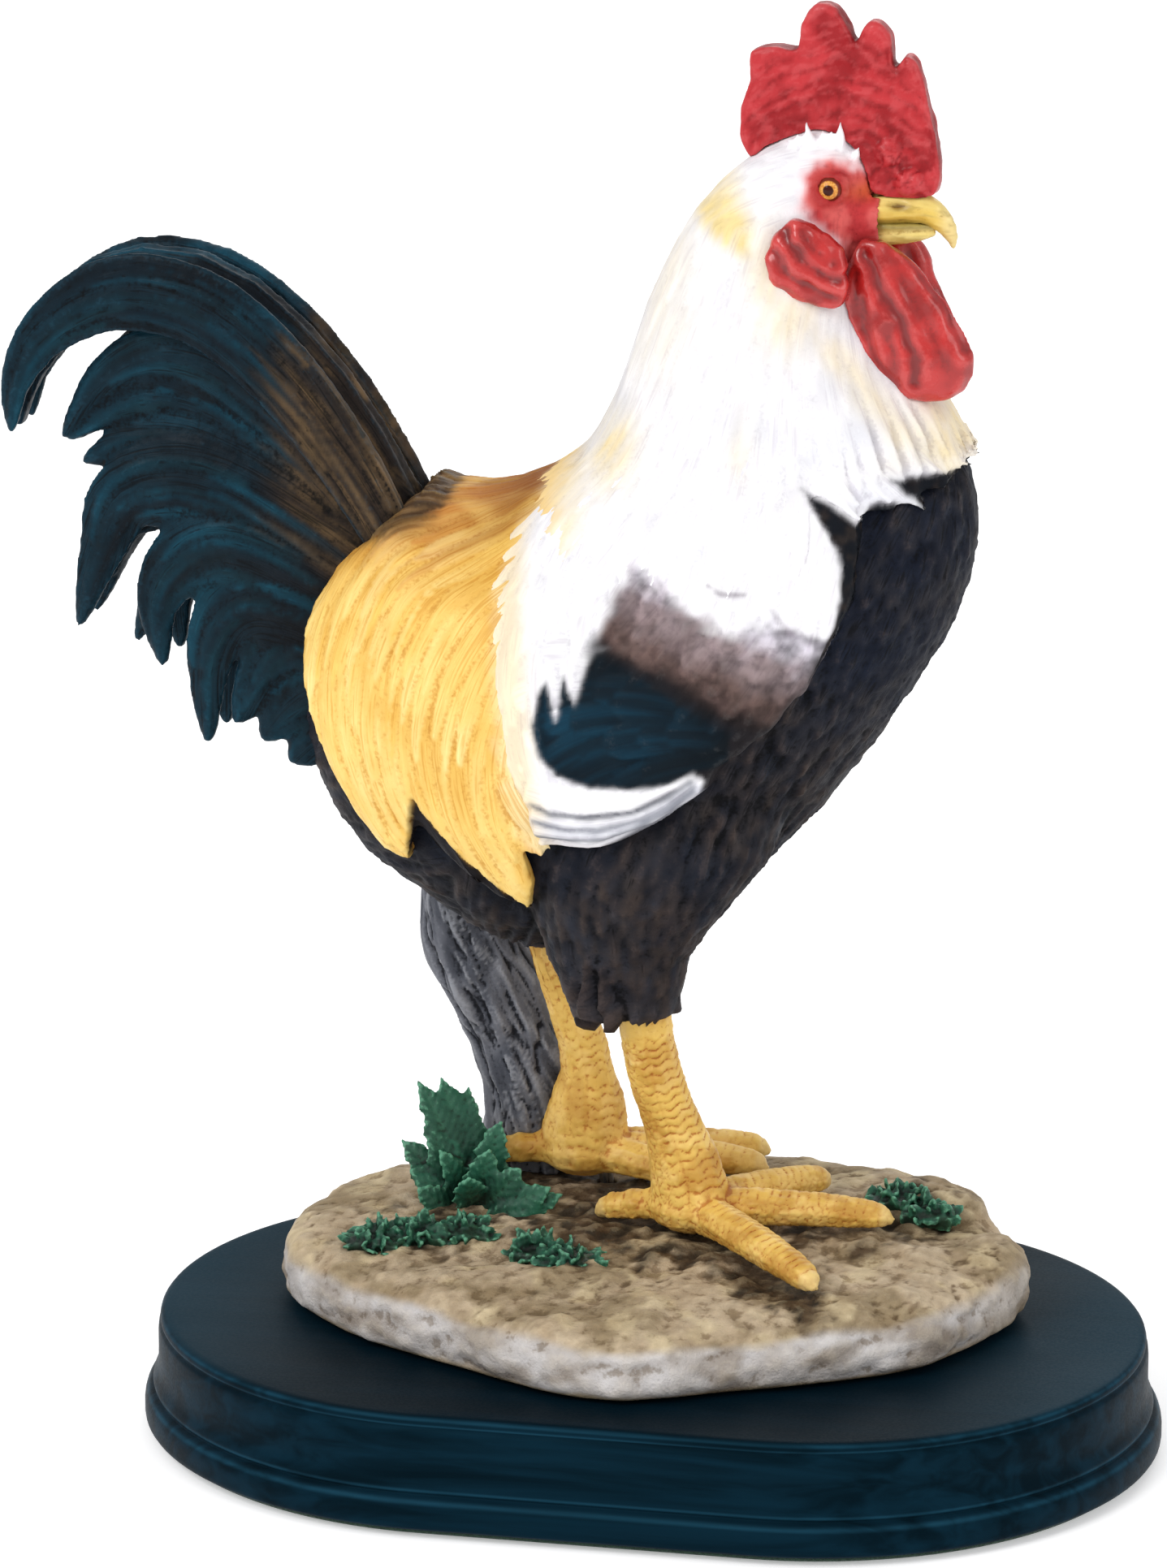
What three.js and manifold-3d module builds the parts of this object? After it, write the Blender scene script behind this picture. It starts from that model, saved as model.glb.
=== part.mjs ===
// Rooster figurine: painted resin castings glued together on steel pins, standing on a
// lacquered wooden stand. Millimetres. +X runs toward the beak, +Z up, origin at the middle
// of the underside of the felt. The right side of the bird faces -Y.
import * as THREE from 'three';
import { mergeVertices } from 'three/addons/utils/BufferGeometryUtils.js';
import Module from 'manifold-3d';

const wasm = await Module();
wasm.setup();

// Driving dimensions.
// Clearance left between two pieces that touch.
const SEAM = 0.3;

// Stand: a board with half-round ends, moulded round its edge, over a felt pad.
const STAND_HEIGHT = 22;
const STAND_STRAIGHT = 60;
const STAND_RADIUS = 65.1;
const STAND_MOULDING = 4.5;
const FELT_THICKNESS = 1;
const FELT_INSET = 2.2;

// Wood screws that hold the ground casting down from below.
const SCREW_SPACING = 68;
const SCREW_RADIUS = 2;
const SCREW_HEAD_RADIUS = 4;
const SCREW_HEAD_HEIGHT = 2.6;
const SCREW_BITE = 8;
const SCREW_RECESS = 0.6;

// Ground casting.
const GROUND_THICKNESS = 12.6;
const GROUND_MOUND = 1.4;
const GROUND_SLOPE = 0.055;

// Bird: height from the ground to the top of the comb, place of its middle plane, details.
const BIRD_HEIGHT = 233;
const BIRD_MIDDLE_Y = 7;
const WING_THICKNESS = 4.4;
const SADDLE_THICKNESS = 3.4;
const COMB_THICKNESS = 6;
const COMB_ROUNDING = 0.8;
const EYE_RADIUS = 2.6;
const EARLOBE_RADIUS = 8;
const EARLOBE_THICKNESS = 3;
const WATTLE_SPREAD = 7;
const LEG_WIRE_RADIUS = 1.3;
const LEG_WIRE_LENGTH = 75;
const TAIL_PIN_RADIUS = 2.5;
const TAIL_PIN_LENGTH = 30;
const NECK_PIN_RADIUS = 3;
const NECK_PIN_LENGTH = 32;

// The figure is drawn 233 high over a ground whose top lies at 34.6. It is scaled to its real
// height and stood on the real ground.
const DRAWN_HEIGHT = 233;
const DRAWN_GROUND = 34.6;
const SCALE = BIRD_HEIGHT / DRAWN_HEIGHT;
const lifted = (body) => body.translate([0, 0, -DRAWN_GROUND]).scale(SCALE)
  .translate([0, 0, STAND_HEIGHT + GROUND_THICKNESS]);
// The bird is drawn about its own middle plane.
const toPlace = (body) => lifted(body).translate([0, BIRD_MIDDLE_Y, 0]);
// Real sizes as they are in the drawing.
const drawn = (size) => size / SCALE;
const GAP = drawn(SEAM);

// Shape helpers.
function fromTriangles(points, faces) {
  const raw = new THREE.BufferGeometry();
  raw.setAttribute('position', new THREE.Float32BufferAttribute(points, 3));
  raw.setIndex(faces);
  return fromGeometry(raw);
}

function fromGeometry(geometry) {
  const bare = geometry.clone();
  bare.deleteAttribute('normal');
  bare.deleteAttribute('uv');
  const joined = mergeVertices(bare, 1e-4);
  return new wasm.Manifold(new wasm.Mesh({
    numProp: 3,
    vertProperties: new Float32Array(joined.attributes.position.array),
    triVerts: new Uint32Array(joined.index.array),
  }));
}

function toGeometry(body) {
  const data = body.getMesh();
  const geometry = new THREE.BufferGeometry();
  geometry.setAttribute('position', new THREE.Float32BufferAttribute(data.vertProperties, 3));
  geometry.setIndex(Array.from(data.triVerts));
  geometry.computeVertexNormals();
  return geometry;
}

const joinAll = (bodies) => bodies.reduce((sum, body) => sum.add(body));
const cutAll = (body, cutters) => cutters.reduce((left, cutter) => left.subtract(cutter), body);

// Smooth in-between station of a list of number rows, t from 0 to 1.
function between(rows, t) {
  const last = rows.length - 1;
  const index = Math.min(Math.floor(t * last), last - 1);
  const f = t * last - index;
  const before = rows[Math.max(index - 1, 0)];
  const here = rows[index];
  const next = rows[index + 1];
  const after = rows[Math.min(index + 2, last)];
  return here.map((p, k) => p + 0.5 * f * (next[k] - before[k]
    + f * (2 * before[k] - 5 * p + 4 * next[k] - after[k]
    + f * (3 * (p - next[k]) + after[k] - before[k]))));
}

// Skin over closed rings of points, with a middle point closing each end.
function skin(rings) {
  const points = rings.flat().flatMap((p) => [p.x, p.y, p.z]);
  const sides = rings[0].length;
  const faces = [];
  for (let r = 0; r + 1 < rings.length; r += 1) {
    for (let s = 0; s < sides; s += 1) {
      const a = r * sides + s;
      const b = r * sides + ((s + 1) % sides);
      faces.push(a, b, b + sides, a, b + sides, a + sides);
    }
  }
  [0, rings.length - 1].forEach((r) => {
    const middle = new THREE.Vector3();
    rings[r].forEach((p) => middle.addScaledVector(p, 1 / sides));
    const tip = points.length / 3;
    points.push(middle.x, middle.y, middle.z);
    for (let s = 0; s < sides; s += 1) {
      const a = r * sides + s;
      const b = r * sides + ((s + 1) % sides);
      faces.push(tip, ...(r === 0 ? [b, a] : [a, b]));
    }
  });
  return fromTriangles(points, faces);
}

// Oval rings along a path. Row: x, y, z of the middle, half size up the ring, half size
// across it. The across direction is `across`; `axis` keeps every ring square to one axis.
function loft(rows, { sides = 16, steps = 12, grow = 0, across = [0, 1, 0], axis = null } = {}) {
  const rings = [];
  const from = new THREE.Vector3(...rows[0]);
  const to = new THREE.Vector3(...rows[rows.length - 1]);
  for (let i = 0; i <= steps; i += 1) {
    const t = i / steps;
    const [x, y, z, high, wide] = between(rows, t);
    const ahead = new THREE.Vector3(...between(rows, Math.min(t + 0.01, 1)));
    const behind = new THREE.Vector3(...between(rows, Math.max(t - 0.01, 0)));
    const along = ahead.sub(behind).normalize();
    if (axis) {
      along.fromArray(axis).multiplyScalar(Math.sign(to.clone().sub(from).dot(along.clone())));
    }
    const side = new THREE.Vector3(...across);
    side.addScaledVector(along, -side.dot(along)).normalize();
    const up = side.clone().cross(along);
    const middle = new THREE.Vector3(x, y, z).addScaledVector(along, grow * (2 * t - 1));
    const ring = [];
    for (let s = 0; s < sides; s += 1) {
      const angle = (2 * Math.PI * s) / sides;
      ring.push(middle.clone()
        .addScaledVector(up, (high + grow) * Math.cos(angle))
        .addScaledVector(side, (wide + grow) * Math.sin(angle)));
    }
    rings.push(ring);
  }
  return skin(rings);
}

function ellipsoid([x, y, z], [rx, ry, rz], grow = 0, across = 16, down = 10) {
  const ball = new THREE.SphereGeometry(1, across, down);
  ball.rotateX(Math.PI / 2);
  ball.scale(rx + grow, ry + grow, rz + grow);
  return fromGeometry(ball.translate(x, y, z));
}

// Round bar from one point toward another.
function bar(from, to, radius, grow = 0, sides = 16) {
  const start = new THREE.Vector3(...from);
  const end = new THREE.Vector3(...to);
  const length = start.distanceTo(end) + 2 * grow;
  const rod = new THREE.CylinderGeometry(radius + grow, radius + grow, length, sides);
  const turn = new THREE.Quaternion();
  turn.setFromUnitVectors(new THREE.Vector3(0, 1, 0), end.clone().sub(start).normalize());
  rod.applyQuaternion(turn);
  const middle = start.add(end).multiplyScalar(0.5);
  return fromGeometry(rod.translate(middle.x, middle.y, middle.z));
}

// Plate cut to an outline of x, z points, from y0 to y1, its edges rounded if asked.
function plate(outline, y0, y1, rounding = 0) {
  const shape = new THREE.Shape(outline.map(([x, z]) => new THREE.Vector2(x, z)));
  const cut = new THREE.ExtrudeGeometry(shape, {
    depth: y1 - y0 - 2 * rounding,
    bevelEnabled: rounding > 0,
    bevelThickness: rounding,
    bevelSize: rounding,
    bevelOffset: -rounding,
    bevelSegments: 1,
  });
  cut.rotateX(Math.PI / 2);
  return fromGeometry(cut.translate(0, y1 - rounding, 0));
}

// Smooth closed outline through a few x, z points.
function rounded(points, count) {
  const curve = new THREE.CatmullRomCurve3(
    points.map(([x, z]) => new THREE.Vector3(x, z, 0)), true, 'catmullrom', 0.5);
  return curve.getPoints(count).slice(0, -1).map((p) => [p.x, p.y]);
}

// Stand, felt and screws.
const STAND_END_SEGMENTS = 14;

function stadiumRing(radius, z) {
  const ring = [];
  [[1, -Math.PI / 2], [-1, Math.PI / 2]].forEach(([end, start]) => {
    for (let i = 0; i <= STAND_END_SEGMENTS; i += 1) {
      const angle = start + (Math.PI * i) / STAND_END_SEGMENTS;
      const x = (end * STAND_STRAIGHT) / 2 + radius * Math.cos(angle);
      ring.push(new THREE.Vector3(x, radius * Math.sin(angle), z));
    }
  });
  return ring;
}

// Moulding, from the underside up: share of its depth, share of the board's height.
const MOULDING = [
  [0.12, 0], [0, 0.05], [0, 0.18], [0.09, 0.27], [0.26, 0.305], [0.27, 0.335], [0.47, 0.42],
  [0.58, 0.52], [0.6, 0.76], [0.64, 0.88], [0.78, 0.905], [0.7, 0.925], [0.77, 0.965], [1, 1],
];
const woodBottom = FELT_THICKNESS + SEAM;
const woodBlank = skin(MOULDING.map(([inside, share]) => stadiumRing(
  STAND_RADIUS - inside * STAND_MOULDING, woodBottom + (STAND_HEIGHT - woodBottom) * share)));

const felt = skin([0, FELT_THICKNESS].map((z) => stadiumRing(STAND_RADIUS - FELT_INSET, z)));

const screwHeadBottom = woodBottom + SCREW_RECESS;
const screwTop = STAND_HEIGHT + SCREW_BITE;

function screw(x, grow = 0) {
  const throat = screwHeadBottom + SCREW_HEAD_HEIGHT;
  const profile = [
    [0, screwHeadBottom - grow],
    [SCREW_HEAD_RADIUS + grow, screwHeadBottom - grow],
    [SCREW_HEAD_RADIUS + grow, screwHeadBottom + 0.4],
    [SCREW_RADIUS + grow, throat],
    [SCREW_RADIUS + grow, screwTop - SCREW_RADIUS],
    [0, screwTop + grow],
  ];
  const turned = new THREE.LatheGeometry(profile.map(([r, z]) => new THREE.Vector2(r, z)), 20);
  turned.rotateX(Math.PI / 2);
  return fromGeometry(turned.translate(x, 0, 0));
}

const screwPlaces = [-SCREW_SPACING / 2, SCREW_SPACING / 2];
const screws = screwPlaces.map((x) => screw(x));
const screwHoles = screwPlaces.flatMap((x) => [
  screw(x, SEAM),
  bar([x, 0, woodBottom - 1], [x, 0, screwHeadBottom], SCREW_HEAD_RADIUS + SEAM, 0, 20),
]);
const wood = cutAll(woodBlank, screwHoles);

// Bird: trunk and thighs.
// Rows: x, 0, middle height, half height, half width.
const TRUNK = [
  [-66, 0, 136, 4, 4], [-62, 0, 137, 17, 12], [-53, 0, 137, 30.5, 20], [-42, 0, 137.2, 39.6, 25.5],
  [-28, 0, 135.5, 43, 30], [-12, 0, 137, 45.5, 32.5], [4, 0, 143.8, 46.6, 33.5],
  [18, 0, 151.2, 43.6, 33], [32, 0, 158.2, 36.8, 29.5], [44, 0, 165.2, 27.2, 23.5],
  [52.6, 0, 171, 18.6, 15.5], [56.6, 0, 174, 9.5, 7], [57.6, 0, 174.5, 3, 2.5],
];
const trunk = (grow) => loft(TRUNK, { sides: 20, steps: 18, grow, axis: [1, 0, 0] });

// Rows: middle x, y, z, half length, half width.
const THIGH_RIGHT = [
  [-0.4, -16, 83.5, 6.4, 6.2], [-0.8, -16.3, 88, 7.7, 7.6], [-3.4, -17, 96, 12.2, 10.6],
  [-1.8, -17.5, 106, 18.6, 14], [2, -17, 118, 24.2, 16.5], [4, -14, 132, 22, 15],
];
const THIGH_LEFT = [
  [-22.8, 15.3, 86.5, 6.6, 6.2], [-22, 15.8, 92, 8.5, 8], [-20, 17, 100, 12.5, 11],
  [-16, 17.5, 112, 18, 14], [-10, 15, 128, 19, 14],
];
const ovalLeg = (rows, grow) => loft(rows, { sides: 14, steps: 8, grow, axis: [0, 0, 1] });

// Bird: legs and wires.
// Toe: from the ball of the foot over a knuckle to a blunt claw.
function toe(from, to, root, tip, grow) {
  const [dx, dy] = [to[0] - from[0], to[1] - from[1]];
  const length = Math.hypot(dx, dy);
  const spot = (share, rise, radius) => [
    from[0] + dx * share, from[1] + dy * share,
    from[2] + (to[2] - from[2]) * share + rise, radius, radius * 1.05];
  return loft([
    spot(0, 0, root), spot(0.35, 1, root * 0.92), spot(0.65, 0.8, (root + tip) / 2),
    spot(0.88, 0.5, tip * 1.05), spot(0.97, -0.1, tip * 0.75), spot(1, -0.4, tip * 0.35),
  ], { sides: 8, steps: 6, grow, across: [-dy / length, dx / length, 0] });
}

const FOOT_RIGHT = { ball: [7, -4, 42.8], reach: [[35, -31.5, 38.8], [43.2, 2, 40.8],
  [28.6, 18, 42], [-11, -2.5, 40]] };
const FOOT_LEFT = { ball: [-18.5, 19, 44.6], reach: [[6, 12, 41.8], [16, 22, 42.4],
  [14.5, 31.5, 42.6], [-37.5, 17, 42.6]] };
const SHANK_RIGHT = [
  [7, -4, 43, 7.5, 7], [6, -4.6, 51, 6.9, 6.2], [4.2, -7, 59, 5.8, 5.2], [1.8, -10.6, 68, 5.5, 5],
  [-0.2, -14.6, 79, 5.3, 5], [-0.6, -16, 86, 5.2, 4.9], [-0.8, -16.6, 90, 4.2, 4],
];
const SHANK_LEFT = [
  [-18.5, 19, 45, 8.6, 7], [-17.5, 18.6, 53, 7.6, 6.2], [-17.3, 17.8, 60, 5.9, 5.2],
  [-18.7, 16.6, 70, 5.7, 5], [-21.6, 15.6, 80, 5.4, 5], [-22.8, 15.4, 88, 5.2, 4.9],
  [-23.4, 15.7, 93, 4.2, 4],
];

function leg(shank, foot, grow) {
  const [x, y, z] = foot.ball;
  const toes = foot.reach.map((tip, i) => toe([x, y, z - 0.8], tip,
    i === 3 ? 3.2 : 3.9, i === 3 ? 2.2 : 2.7, grow));
  return joinAll([
    loft(shank, { sides: 12, steps: 9, grow, axis: [0, 0, 1], across: [0, 1, 0] }),
    ellipsoid(foot.ball, [8.4, 7.6, 5.2], grow, 12, 6),
    ...toes,
  ]);
}

// Straight wire through two points of a leg, up into the trunk and down into the ground.
function wire([x0, y0, z0], [x1, y1, z1], grow) {
  const at = (z) => [x0 + ((x1 - x0) * (z - z0)) / (z1 - z0), y0 + ((y1 - y0) * (z - z0)) / (z1 - z0), z];
  return bar(at(31), at(31 + drawn(LEG_WIRE_LENGTH)), drawn(LEG_WIRE_RADIUS), grow, 12);
}
const wireRight = (grow) => wire([4.8, -6, 55], [-0.5, -15.4, 82], grow);
const wireLeft = (grow) => wire([-17.4, 18, 57], [-21.9, 15.6, 82], grow);
const legRight = (grow) => leg(SHANK_RIGHT, FOOT_RIGHT, grow);
const legLeft = (grow) => leg(SHANK_LEFT, FOOT_LEFT, grow);

// Bird: neck, head, cape.
// Rows: middle x, 0, z, half length, half width.
const NECK = [
  [19, 0, 162, 40, 32.5], [18, 0, 172, 40, 31.2], [21, 0, 180, 38.5, 28.5],
  [23, 0, 187, 35.4, 25.5], [23, 0, 194, 31.6, 22], [20.6, 0, 202, 26.2, 18.5],
  [18.8, 0, 212, 21.2, 15], [19.8, 0, 222, 17.8, 12.6], [22.6, 0, 230, 16, 10.6],
  [25.4, 0, 236.5, 12.8, 9.2], [27.2, 0, 241, 9, 6.8], [28.6, 0, 244.2, 4.6, 3.6], [29, 0, 245.2, 1.4, 1],
];
const neck = (grow) => loft(NECK, { sides: 18, steps: 18, grow, axis: [0, 0, 1] });

// Lower edge of the cape, tips and notches, from the back round to the breast.
const CAPE_EDGE = [
  [-21, 182], [-19.5, 176], [-15, 173.5], [-13, 169], [-8, 171], [-5, 166], [0, 168.5], [4, 164],
  [9, 167], [14, 163.5], [18, 167.5], [23, 165], [27, 170], [31, 170], [34, 176], [38, 177],
  [41, 181], [46, 180.5], [49, 184], [54, 183], [57, 187], [64, 186],
];
const cape = (drop) => plate(
  [...CAPE_EDGE.map(([x, z]) => [x, z - drop]), [64, 270], [-30, 270], [-30, 182 - drop]], -60, 60);

// Bird: beak, eyes, comb.
const BEAK_UPPER = [
  [34.6, 0, 230, 2.6, 4.2], [39.4, 0, 230.8, 3, 4.4], [44.4, 0, 231.4, 3, 3.6],
  [49, 0, 231.2, 3, 2.8], [52.2, 0, 229.6, 2.4, 2], [53.8, 0, 227.2, 1.4, 1.1],
  [54.2, 0, 225.2, 0.4, 0.4],
];
const BEAK_LOWER = [
  [35.5, 0, 225.8, 1.5, 3.6], [40, 0, 225.9, 1.5, 3.5], [44.5, 0, 226.2, 1.3, 2.7],
  [48, 0, 226.6, 0.9, 1.8], [49.6, 0, 226.9, 0.4, 0.7],
];
const beakUpper = (grow) => loft(BEAK_UPPER, { sides: 10, steps: 9, grow });
const beakLower = (grow) => loft(BEAK_LOWER, { sides: 10, steps: 6, grow });
const EYE_PLACE = [32.6, 7.2, 236.4];
function eye(side, grow) {
  const [x, y, z] = EYE_PLACE;
  const radius = drawn(EYE_RADIUS);
  return ellipsoid([x, side * y, z], [radius, radius * 0.8, radius], grow, 10, 6);
}

const COMB_OUTLINE = [
  [24, 240], [19.6, 238], [16.7, 239.2], [14.6, 243.2], [14.7, 248.6], [16.2, 253.6], [16.2, 258.6],
  [20.6, 259.8], [24.8, 259.4], [25.4, 264], [28, 267.6], [31.6, 267], [34, 263.2], [35.2, 260.4],
  [36.8, 264], [39, 265], [41.4, 262.2], [42.2, 256.4], [44, 259], [46.2, 257.6],
  [47.8, 252.2], [49.4, 246], [50.4, 240], [49.8, 234.2], [46, 232.6], [41, 232.4], [36, 236], [30, 239],
];
const combBlade = plate(rounded(COMB_OUTLINE, 56), drawn(-COMB_THICKNESS / 2),
  drawn(COMB_THICKNESS / 2), drawn(COMB_ROUNDING));
const combBulges = [
  ellipsoid([45.4, 0, 236.6], [4.6, 4.9, 3.6], 0, 10, 6),
  ellipsoid([41.6, 0, 241.6], [4.4, 4.7, 4], 0, 10, 6),
];

// Bird: wattles, earlobes.
const WATTLE = [
  [40, 0, 226.6, 2.2, 1.6], [41, 0, 223.6, 5.4, 2.6], [42.4, 0, 218, 8.8, 3.5],
  [44, 0, 212, 10.4, 3.9], [45.6, 0, 206, 10.6, 4], [47, 0, 201.6, 8.6, 3.4],
  [48.2, 0, 198.8, 5.2, 2.2], [48.6, 0, 197.9, 1.8, 1],
];
const wattle = (side) => loft(
  WATTLE.map(([x, , z, a, b]) => [x, side * drawn(WATTLE_SPREAD), z, a, b]),
  { sides: 10, steps: 9, axis: [0, 0, 1] });
const EARLOBE_PLACE = [30, 12.2, 223.2];
function earlobe(side) {
  const [x, y, z] = EARLOBE_PLACE;
  const radius = drawn(EARLOBE_RADIUS);
  return ellipsoid([x, side * y, z], [radius, drawn(EARLOBE_THICKNESS), radius * 0.96], 0, 12, 6);
}

// Bird: tail.
// A plume leaves the rump, arches over and ends in a point. Rows: x, z of its middle line.
function plume(line, y, width, thickness, grow) {
  const rows = line.map(([x, z], i) => {
    const t = i / (line.length - 1);
    const swell = 0.6 + 0.4 * Math.sin(Math.min(t / 0.45, 1) * (Math.PI / 2));
    const taper = t < 0.5 ? 1 : Math.sqrt(Math.max(1.02 - ((t - 0.5) / 0.5) ** 2, 0.02));
    return [x, y * (1 - 0.35 * t), z, (width / 2) * swell * taper, thickness * (1 - 0.5 * t)];
  });
  return loft(rows, { sides: 6, steps: 6, grow });
}

const MAIN_SICKLE = [[-45, 164], [-55.5, 183], [-68, 198.6], [-83, 209.4], [-99, 210.6],
  [-111.4, 203.2], [-118, 193.4], [-120.4, 184]];
// Rows: middle line, distance from the middle plane, width.
const FAN = [
  [[[-46, 162], [-62, 183], [-80, 197.6], [-95, 200.4], [-105, 195.6], [-109.4, 189]], 6.4, 13],
  [[[-46, 160], [-64, 178], [-83, 190], [-99, 190.8], [-111.4, 184.4]], 3.4, 11.5],
  [[[-46, 158], [-66, 173], [-85, 182], [-98, 182], [-106.8, 178.6]], 6.6, 12.5],
  [[[-46, 154], [-66, 167], [-84, 174.4], [-98, 170.4], [-105.4, 161], [-108.8, 149.6]], 8.2, 13],
  [[[-46, 149], [-64, 160], [-80, 165.6], [-91, 160], [-96.6, 151.6], [-96, 144]], 9.4, 14],
  [[[-46, 144], [-61, 152], [-75, 154], [-83.6, 144.6], [-84.6, 128]], 10, 14.5],
  [[[-46, 138], [-58, 144], [-69, 142.6], [-76.5, 129.6]], 10.2, 14],
  [[[-46, 132], [-57, 136], [-66, 132], [-70, 122]], 9.6, 13],
];
const TAIL_CORE = [
  [-44, 0, 154, 15, 10], [-60, 0, 164, 20, 11], [-75, 0, 172, 17, 8.6], [-88, 0, 178, 12, 5.6],
  [-98, 0, 180, 5, 2.8],
];
const sickle = (side, grow) => plume(MAIN_SICKLE, side * 9.6, 15, 2.6, grow);
const fan = (grow) => joinAll([
  loft(TAIL_CORE, { sides: 10, steps: 6, grow }),
  ...FAN.flatMap(([line, y, width]) => [-1, 1].map((side) => plume(line, side * y, width, 3, grow))),
]);

// Bird: pins in the joints, each centred on the joint.
function pin([x, z], [dx, dz], length, radius, grow) {
  const half = drawn(length) / 2 / Math.hypot(dx, dz);
  return bar([x - dx * half, 0, z - dz * half], [x + dx * half, 0, z + dz * half], drawn(radius),
    grow, 16);
}
const TAIL_JOINT = [-56, 162];
const NECK_JOINT = [22, 193];
const pinTail = (grow) => pin(TAIL_JOINT, [-0.86, 0.5], TAIL_PIN_LENGTH, TAIL_PIN_RADIUS, grow);
const pinNeck = (grow) => pin(NECK_JOINT, [0, 1], NECK_PIN_LENGTH, NECK_PIN_RADIUS, grow);

// Bird: wings and saddle.
const WING_OUTLINE = [
  [-17, 182], [-20.4, 174], [-21.6, 162], [-21.4, 148], [-19.6, 134], [-17.6, 125], [-15.6, 121.2],
  [-6, 120.6], [6, 125.6], [15.6, 132.6], [15.8, 135.4], [26.4, 143.4], [35, 154.6], [40.4, 166],
  [41.2, 178], [38, 188], [20, 194], [0, 190],
];
const SADDLE_OUTLINE = [
  [-12.6, 188], [-17.4, 182], [-20.8, 174], [-22, 162], [-21.8, 148], [-20, 134], [-18, 125],
  [-15, 117], [-19.6, 118], [-17.6, 111], [-18.8, 105.4], [-24, 106.6], [-33, 113.6], [-38.6, 120.8],
  [-41.4, 112.6], [-45, 113.6], [-50.6, 119.8], [-56.6, 128.8], [-61, 139.2], [-63, 149.6],
  [-60, 157.4], [-56, 164], [-50, 169.4], [-44, 176], [-40, 184], [-26, 188],
];
const flank = (grow) => joinAll([trunk(grow), ovalLeg(THIGH_RIGHT, grow), ovalLeg(THIGH_LEFT, grow)]);
// Skin lying over one flank, cut to an outline. Side -1 is the right, 1 the left.
const overFlank = (outline, thickness, side) => flank(GAP + drawn(thickness)).subtract(flank(GAP))
  .intersect(side < 0 ? plate(outline, -60, -GAP / 2) : plate(outline, GAP / 2, 60));
const shifted = (outline, dx, dz) => outline.map(([x, z]) => [x + dx, z + dz]);
const capeCutter = neck(GAP).intersect(cape(GAP));
const SIDES = [-1, 1];
const wings = SIDES.map((side) => cutAll(overFlank(WING_OUTLINE, WING_THICKNESS, side),
  [plate(shifted(SADDLE_OUTLINE, GAP, 0), -60, 60), capeCutter]));
const saddleCutters = [capeCutter, fan(GAP), sickle(-1, GAP), sickle(1, GAP)];
const saddles = SIDES.map((side) => cutAll(
  overFlank(SADDLE_OUTLINE, SADDLE_THICKNESS, side), saddleCutters));
const saddleRoom = flank(drawn(SADDLE_THICKNESS) + 2 * GAP).intersect(joinAll(
  [[GAP, 0], [-GAP, 0], [0, -GAP]].map(([dx, dz]) => plate(shifted(SADDLE_OUTLINE, dx, dz), 0, 60))));

// Ground, stump, plants.
// Rim of the ground casting: x, y, in order round the edge.
const RIM = [
  [68, 4], [65.5, 22], [56, 38], [41, 48], [18, 53], [-12, 53], [-38, 48], [-59, 33], [-70, 11],
  [-68.5, -8], [-59, -20], [-47, -30], [-29, -39], [-12, -48], [5, -50.5], [22, -42], [42, -32],
  [57, -20],
];
// Rows: share of the height, share of the way in from the rim.
const GROUND_RINGS = [
  [0, 0.035], [0.2, 0.003], [0.6, 0.005], [0.86, 0.04], [0.98, 0.12], [1.03, 0.32], [1.08, 0.56],
  [1.12, 0.8],
];
function groundCasting() {
  const rim = rounded(RIM.map(([x, y]) => [x * SCALE, y * SCALE]), 36);
  const rough = (x, y) => 0.5 * Math.sin(x * 0.31 + y * 0.17) + 0.45 * Math.sin(y * 0.29 - x * 0.13);
  const bottom = STAND_HEIGHT + SEAM;
  return skin(GROUND_RINGS.map(([share, inward]) => rim.map(([x, y], i) => {
    const ripple = share > 0.1 ? 0.009 * Math.sin(i * 1.9) * (1 - inward) : 0;
    const [px, py] = [x * (1 - inward + ripple), y * (1 - inward + ripple)];
    const flat = Math.min(share, 1) * GROUND_THICKNESS;
    const slope = share > 0.5 ? GROUND_SLOPE * Math.max(py + 20 * SCALE, 0) : 0;
    const lumps = share > 0.5 ? SCALE * rough(drawn(px), drawn(py)) : 0;
    const mound = Math.max(share - 1, 0) * 8 * GROUND_MOUND;
    return new THREE.Vector3(px, py, bottom + flat + slope + mound + lumps);
  })));
}
const rock = ellipsoid([47, 26, 36], [13, 11, 6], 0, 12, 6);

const STUMP = [
  [-29, 34, 34, 11, 9], [-29.6, 33.6, 42, 9.2, 7.4], [-30.6, 33, 52, 8.2, 6.6],
  [-33, 32.2, 63, 9, 6.6], [-36, 31, 73, 9.8, 7], [-39, 29.6, 83, 10.2, 7.4],
  [-40.6, 28, 94, 9.2, 7.4], [-40.4, 26.4, 106, 7.4, 7.2], [-40, 25.4, 114, 6, 6],
];
const stump = (grow) => loft(STUMP, { sides: 12, steps: 11, grow, axis: [0, 0, 1] });

// Leaf: from its root, arching out to a pointed tip.
function leaf([x, y, z], [dx, dy, dz], width, grow, face = [0, 0, 1]) {
  const flatLength = Math.hypot(dx, dy);
  const across = new THREE.Vector3(dx, dy, dz).cross(new THREE.Vector3(...face)).toArray();
  const at = (share, rise, half, thick) => [x + dx * share, y + dy * share,
    z + dz * share + rise, thick, half];
  const arch = 0.12 * flatLength;
  return loft([
    at(0, 0, width * 0.3, 1.1), at(0.3, arch, width * 0.46, 1.1), at(0.6, arch * 1.2, width * 0.5, 1),
    at(0.85, arch * 0.5, width * 0.3, 0.8), at(1, 0, width * 0.08, 0.35),
  ], { sides: 4, steps: 3, grow, across });
}

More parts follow.
